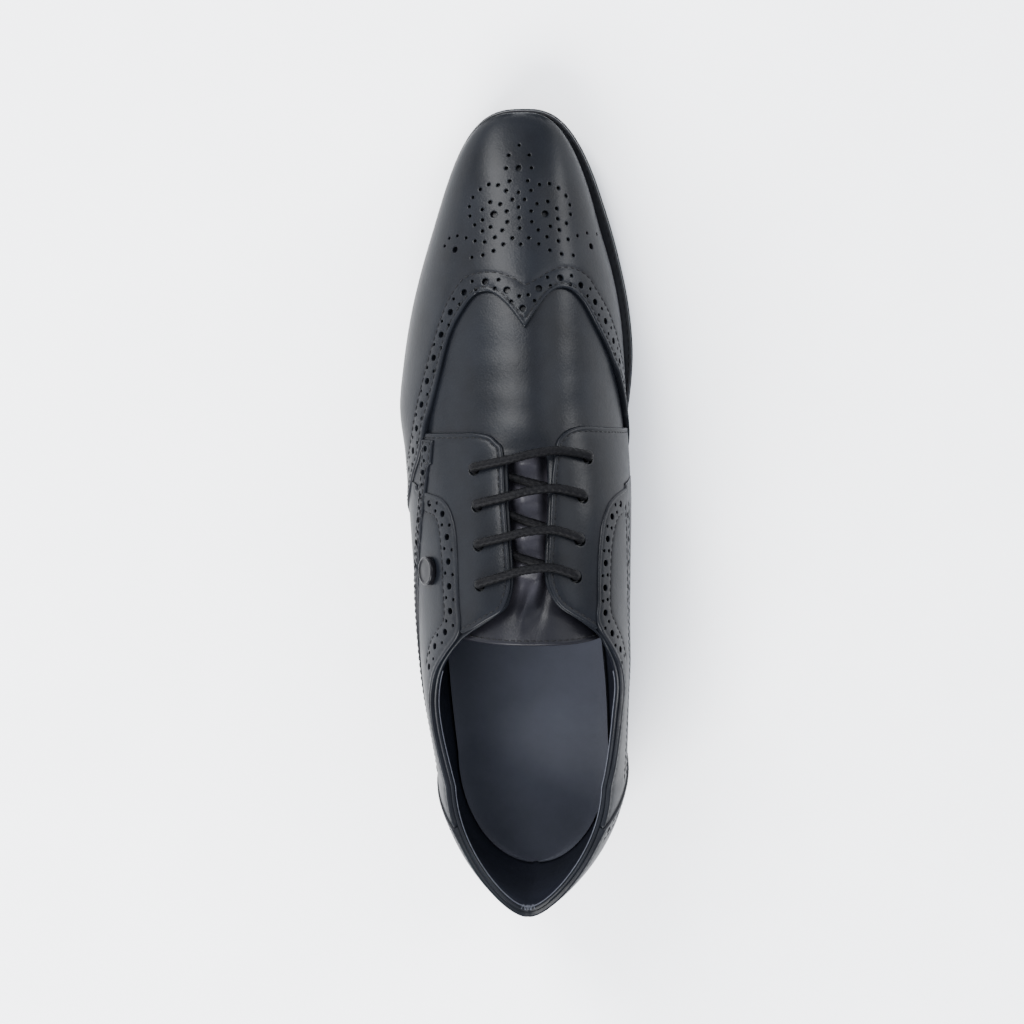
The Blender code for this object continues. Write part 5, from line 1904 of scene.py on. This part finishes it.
@dataclass
class SoleUnit:
    """Outsole, heel and welt, all drawn from the sole's outline."""

    toe_reach: float = 35.0
    heel_reach: float = 51.5
    midline: float = 4.0
    outsole_thick: float = 4.5
    fit_gap: float = 0.3
    wall: float = 2.0
    welt_lap: float = 0.8
    heel_inset: float = 0.7
    breast_y: float = -86.0
    heel_steps: int = 36
    body_steps: int = 150
    toe_steps: int = 44
    stitch_inset: float = 1.4
    sharp: float = 35.0
    outsole_levels: tuple[Level, ...] = table(
        Level,
        (1.4, 0.0), (0.45, 0.2), (0.1, 0.7), (0.0, 1.4), (0.0, 3.5), (0.12, 4.1), (0.5, 4.5),
    )
    welt_levels: tuple[Level, ...] = table(
        Level,
        (0.7, 0.0), (0.4, 0.35), (0.4, 1.5), (0.55, 1.95), (1.0, 2.2), (1.6, 2.2),
    )
    heel_levels: tuple[Level, ...] = table(
        Level,
        (0.9, 0.0), (0.25, 0.02), (0.0, 0.06), (0.0, 0.315), (0.35, 0.325), (0.35, 0.340), (0.0, 0.350),
        (0.0, 0.535), (0.28, 0.545), (0.0, 0.555), (0.0, 0.765), (0.28, 0.775), (0.0, 0.785), (0.0, 1.0),
    )

    def outline(self, inset: float) -> tuple[Array, Array, Array]:
        """Position along the foot and the two edges of the sole, drawn in by an inset, from heel to toe."""
        heel = -np.linspace(1, 0, self.heel_steps + 1)[:-1] * math.pi / 2
        toe = np.linspace(1, 0, self.toe_steps + 1)
        body_y = np.linspace(LAST.heel_y, LAST.toe_y, self.body_steps + 1)
        heel_y = LAST.heel_y + (self.heel_reach - inset) * np.sin(heel)
        toe_y = LAST.toe_y + (self.toe_reach - inset) * (1 - toe ** (1 / LAST.toe_blunt))
        y = np.concatenate([heel_y, body_y, toe_y[1:]])
        width = np.concatenate([np.maximum(np.cos(heel), 0), np.ones(self.body_steps + 1), toe[1:]])
        width[0] = 0.0
        inside = np.clip(y, LAST.heel_y, LAST.toe_y)
        middle = np.interp(y, (LAST.heel_y, LAST.toe_y), (self.midline + 1, self.midline - 1))
        lateral = middle + (from_table(SOLE_EDGE, "lateral", inside) + inset - middle) * width
        medial = middle + (from_table(SOLE_EDGE, "medial", inside) - inset - middle) * width
        return y, lateral, medial

    def feather(self, inset: float) -> tuple[Array, Array, Array]:
        """The same for the foot of the upper."""
        stations = np.concatenate(
            [
                np.linspace(-1, 0, self.heel_steps + 1)[:-1],
                np.linspace(0, 1, self.body_steps + 1),
                np.linspace(1, 2, self.toe_steps + 1)[1:],
            ]
        )
        lateral = LAST.point(stations, -1.0, -inset)
        medial = LAST.point(stations, 1.0, -inset)
        return lateral[:, 1], lateral[:, 0], medial[:, 0]

    @staticmethod
    def ring(outline: tuple[Array, Array, Array], z: Array) -> Array:
        """A closed ring of points: lateral edge forwards, then medial edge backwards."""
        y, lateral, medial = outline
        there = np.stack([lateral, y, z], -1)
        back = np.stack([medial, y, z], -1)[::-1]
        return np.concatenate([there, back])

    @staticmethod
    def stacked(rings: list[Array], closed_hole: bool = False) -> tuple[Array, Faces]:
        """Points and faces of rings joined in turn, capped at both ends or closed on themselves."""
        count = len(rings[0])
        faces = ring_faces(count, len(rings), closed_hole)
        for base in () if closed_hole else (0, (len(rings) - 1) * count):
            far = base + count - 1
            faces += [(base + i, base + i + 1, far - 1 - i, far - i) for i in range(count // 2 - 1)]
        return np.concatenate(rings), faces

    def build(self) -> list[Any]:
        """Builds the outsole, the heel and the welt."""
        rings = []
        for level in self.outsole_levels:
            outline = self.outline(level.inset)
            rings.append(self.ring(outline, from_table(TREAD, "z", outline[0]) + level.height))
        outsole = make_piece("outsole_rubber", *self.stacked(rings), SOLE_RUBBER, self.sharp)
        rings = []
        for level in self.heel_levels:
            y, lateral, medial = self.outline(self.heel_inset + level.inset)
            kept = y < self.breast_y - self.heel_inset
            breast = self.breast_y - level.inset
            cut = tuple(np.append(x[kept], np.interp(breast, y, x)) for x in (y, lateral, medial))
            rings.append(self.ring(cut, (from_table(TREAD, "z", cut[0]) - self.fit_gap) * level.height))
        heel = make_piece("heel_block_rubber", *self.stacked(rings), SOLE_RUBBER, self.sharp)
        rings = []
        base = self.outsole_thick + self.fit_gap
        outlines = [(self.outline(level.inset), level.height) for level in self.welt_levels]
        inner = self.feather(self.wall + self.welt_lap)
        outlines += [(inner, self.welt_levels[-1].height), (inner, 0.0)]
        for outline, height in outlines:
            rings.append(self.ring(outline, from_table(TREAD, "z", outline[0]) + base + height))
        welt = make_piece("welt_strip", *self.stacked(rings, closed_hole=True), WELT_STRIP, self.sharp)
        self.sew(base + self.welt_levels[-1].height)
        return [
            settle(outsole, "outsole", "outsole"),
            settle(heel, "heel", "heel"),
            settle(welt, "welt", "welt"),
        ]

    def sew(self, height: float) -> None:
        """The welt's stitches, from the waist round the toe."""
        seam = Seam("stitching_welt", "welt", length=2.5, pitch=3.3, width=0.6, height=0.36)
        outline = self.outline(self.stitch_inset)
        ring = self.ring(outline, from_table(TREAD, "z", outline[0]) + height)
        line = even(ring[ring[:, 1] > LAST.heel_y], seam.pitch)[1:-1]
        seam.sew(line, np.gradient(line, axis=0), np.broadcast_to((0.0, 0.0, 1.0), line.shape))
        seam.build()


@dataclass
class Insole:
    """The insole with its bare sock, turned up a little at its edge."""

    top: float = 9.6
    below: float = 4.8
    inset: float = 2.4
    across: int = 40
    upturn: float = 1.2
    upturn_power: float = 8.0
    blunt: float = 1.5

    def build(self, sole: SoleUnit) -> Any:
        """Builds the insole inside the foot of the upper."""
        y, lateral, medial = sole.feather(self.inset)
        wide = medial - lateral > self.blunt
        y, lateral, medial = y[wide], lateral[wide], medial[wide]
        ground = from_table(TREAD, "z", y)
        t = np.linspace(-1, 1, self.across + 1)[None, :]
        x = (lateral + medial)[:, None] / 2 + (medial - lateral)[:, None] / 2 * t
        rise = self.upturn * np.abs(t) ** self.upturn_power
        across_y = np.broadcast_to(y[:, None], x.shape)
        outer = np.stack([x, across_y, ground[:, None] + self.top + rise], -1)
        inner = np.stack([x, across_y, np.broadcast_to(ground[:, None] + self.below, x.shape)], -1)
        return settle(make_piece("insole_sock", *sheet_shell(outer, inner), SOCK, 50.0), "insole", "insole")


class Lamp(NamedTuple):
    """A soft box: its place and aim in metres, width, height and power."""

    name: str
    place: tuple[float, float, float]
    aim: tuple[float, float, float]
    width: float
    height: float
    power: float


@dataclass
class Studio:
    """Pale paper floor, soft boxes and the camera over the toe."""

    camera_place: tuple[float, float, float] = (0.0607, 0.1855, 1.0)
    camera_aim: tuple[float, float, float] = (-0.0008, -0.0011, 0.04)
    camera_up: tuple[float, float, float] = (0.016, 1.0, 0.0)
    lens: float = 88.2
    sensor: float = 36.0
    clip_start: float = 0.01
    floor_size: float = 8.0
    sky: str = "#e6eeff"
    sky_strength: float = 1.6
    lamps: tuple[Lamp, ...] = table(
        Lamp,
        ("key_box", (-0.6, 1.09, 1.03), (0.0, 0.08, 0.05), 0.5, 1.16, 52.0),
        ("side_box", (-1.55, 0.25, 0.6), (0.0, 0.0, 0.05), 1.4, 0.8, 14.0),
        ("strip_box", (1.34, 0.85, 0.42), (0.0, 0.08, 0.05), 0.45, 0.45, 16.0),
        ("fill_box", (0.88, 0.64, 1.17), (0.0, 0.05, 0.05), 1.0, 0.8, 10.0),
        ("back_box", (-0.5, -1.1, 1.2), (0.0, 0.0, 0.0), 1.2, 1.0, 100.0),
    )

    def floor(self) -> Any:
        """The paper under the shoe."""
        bpy.ops.object.select_all(action="DESELECT")
        bpy.ops.mesh.primitive_plane_add(size=self.floor_size)
        floor = bpy.context.object
        floor.name = "paper_floor"
        floor.data.materials.append(PAPER.material())
        return floor

    def light(self) -> None:
        """The sky and the soft boxes."""
        world = bpy.data.worlds.new("studio_sky")
        world.use_nodes = True
        backdrop = world.node_tree.nodes["Background"]
        backdrop.inputs["Color"].default_value = linear(self.sky)
        backdrop.inputs["Strength"].default_value = self.sky_strength
        bpy.context.scene.world = world
        for lamp in self.lamps:
            data = bpy.data.lights.new(lamp.name, "AREA")
            data.shape = "RECTANGLE"
            data.size = lamp.width
            data.size_y = lamp.height
            data.energy = lamp.power
            box = bpy.data.objects.new(lamp.name, data)
            box.location = lamp.place
            aim = Vector(lamp.aim) - Vector(lamp.place)
            box.rotation_euler = aim.to_track_quat("-Z", "Y").to_euler()
            bpy.context.scene.collection.objects.link(box)

    def camera(self) -> None:
        """The camera high over the toe, the toe pointing up in the picture."""
        data = bpy.data.cameras.new("camera_over_toe")
        data.lens = self.lens
        data.sensor_width = self.sensor
        data.clip_start = self.clip_start
        camera = bpy.data.objects.new("camera_over_toe", data)
        back = unit(np.array(self.camera_place) - np.array(self.camera_aim))
        right = unit(np.cross(self.camera_up, back))
        turn = np.eye(4)
        turn[:3, :3] = np.stack([right, np.cross(back, right), back], -1)
        turn[:3, 3] = self.camera_place
        camera.matrix_world = Matrix(turn.tolist())
        bpy.context.scene.collection.objects.link(camera)
        bpy.context.scene.camera = camera


def main() -> None:
    """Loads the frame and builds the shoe's pieces in order."""
    logging.basicConfig(level=logging.INFO, format="%(name)s %(message)s")
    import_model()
    studio = Studio()
    studio.floor()
    studio.light()
    studio.camera()
    sole = SoleUnit()
    sole.build()
    Insole().build(sole)
    UpperShell().build()
    seam = Seam("stitching_upper", "overlay")
    WingCap().build(seam)
    for side in Side:
        Facing(side).build(seam)
        Foxing(side).build(seam)
    SideStrip().build(seam)
    HeelCounter().build(seam)
    Tongue().build(seam)
    seam.build()
    TopBead().build()
    Lacing().build()
    SideStud().build()


if __name__ == "__main__":
    main()
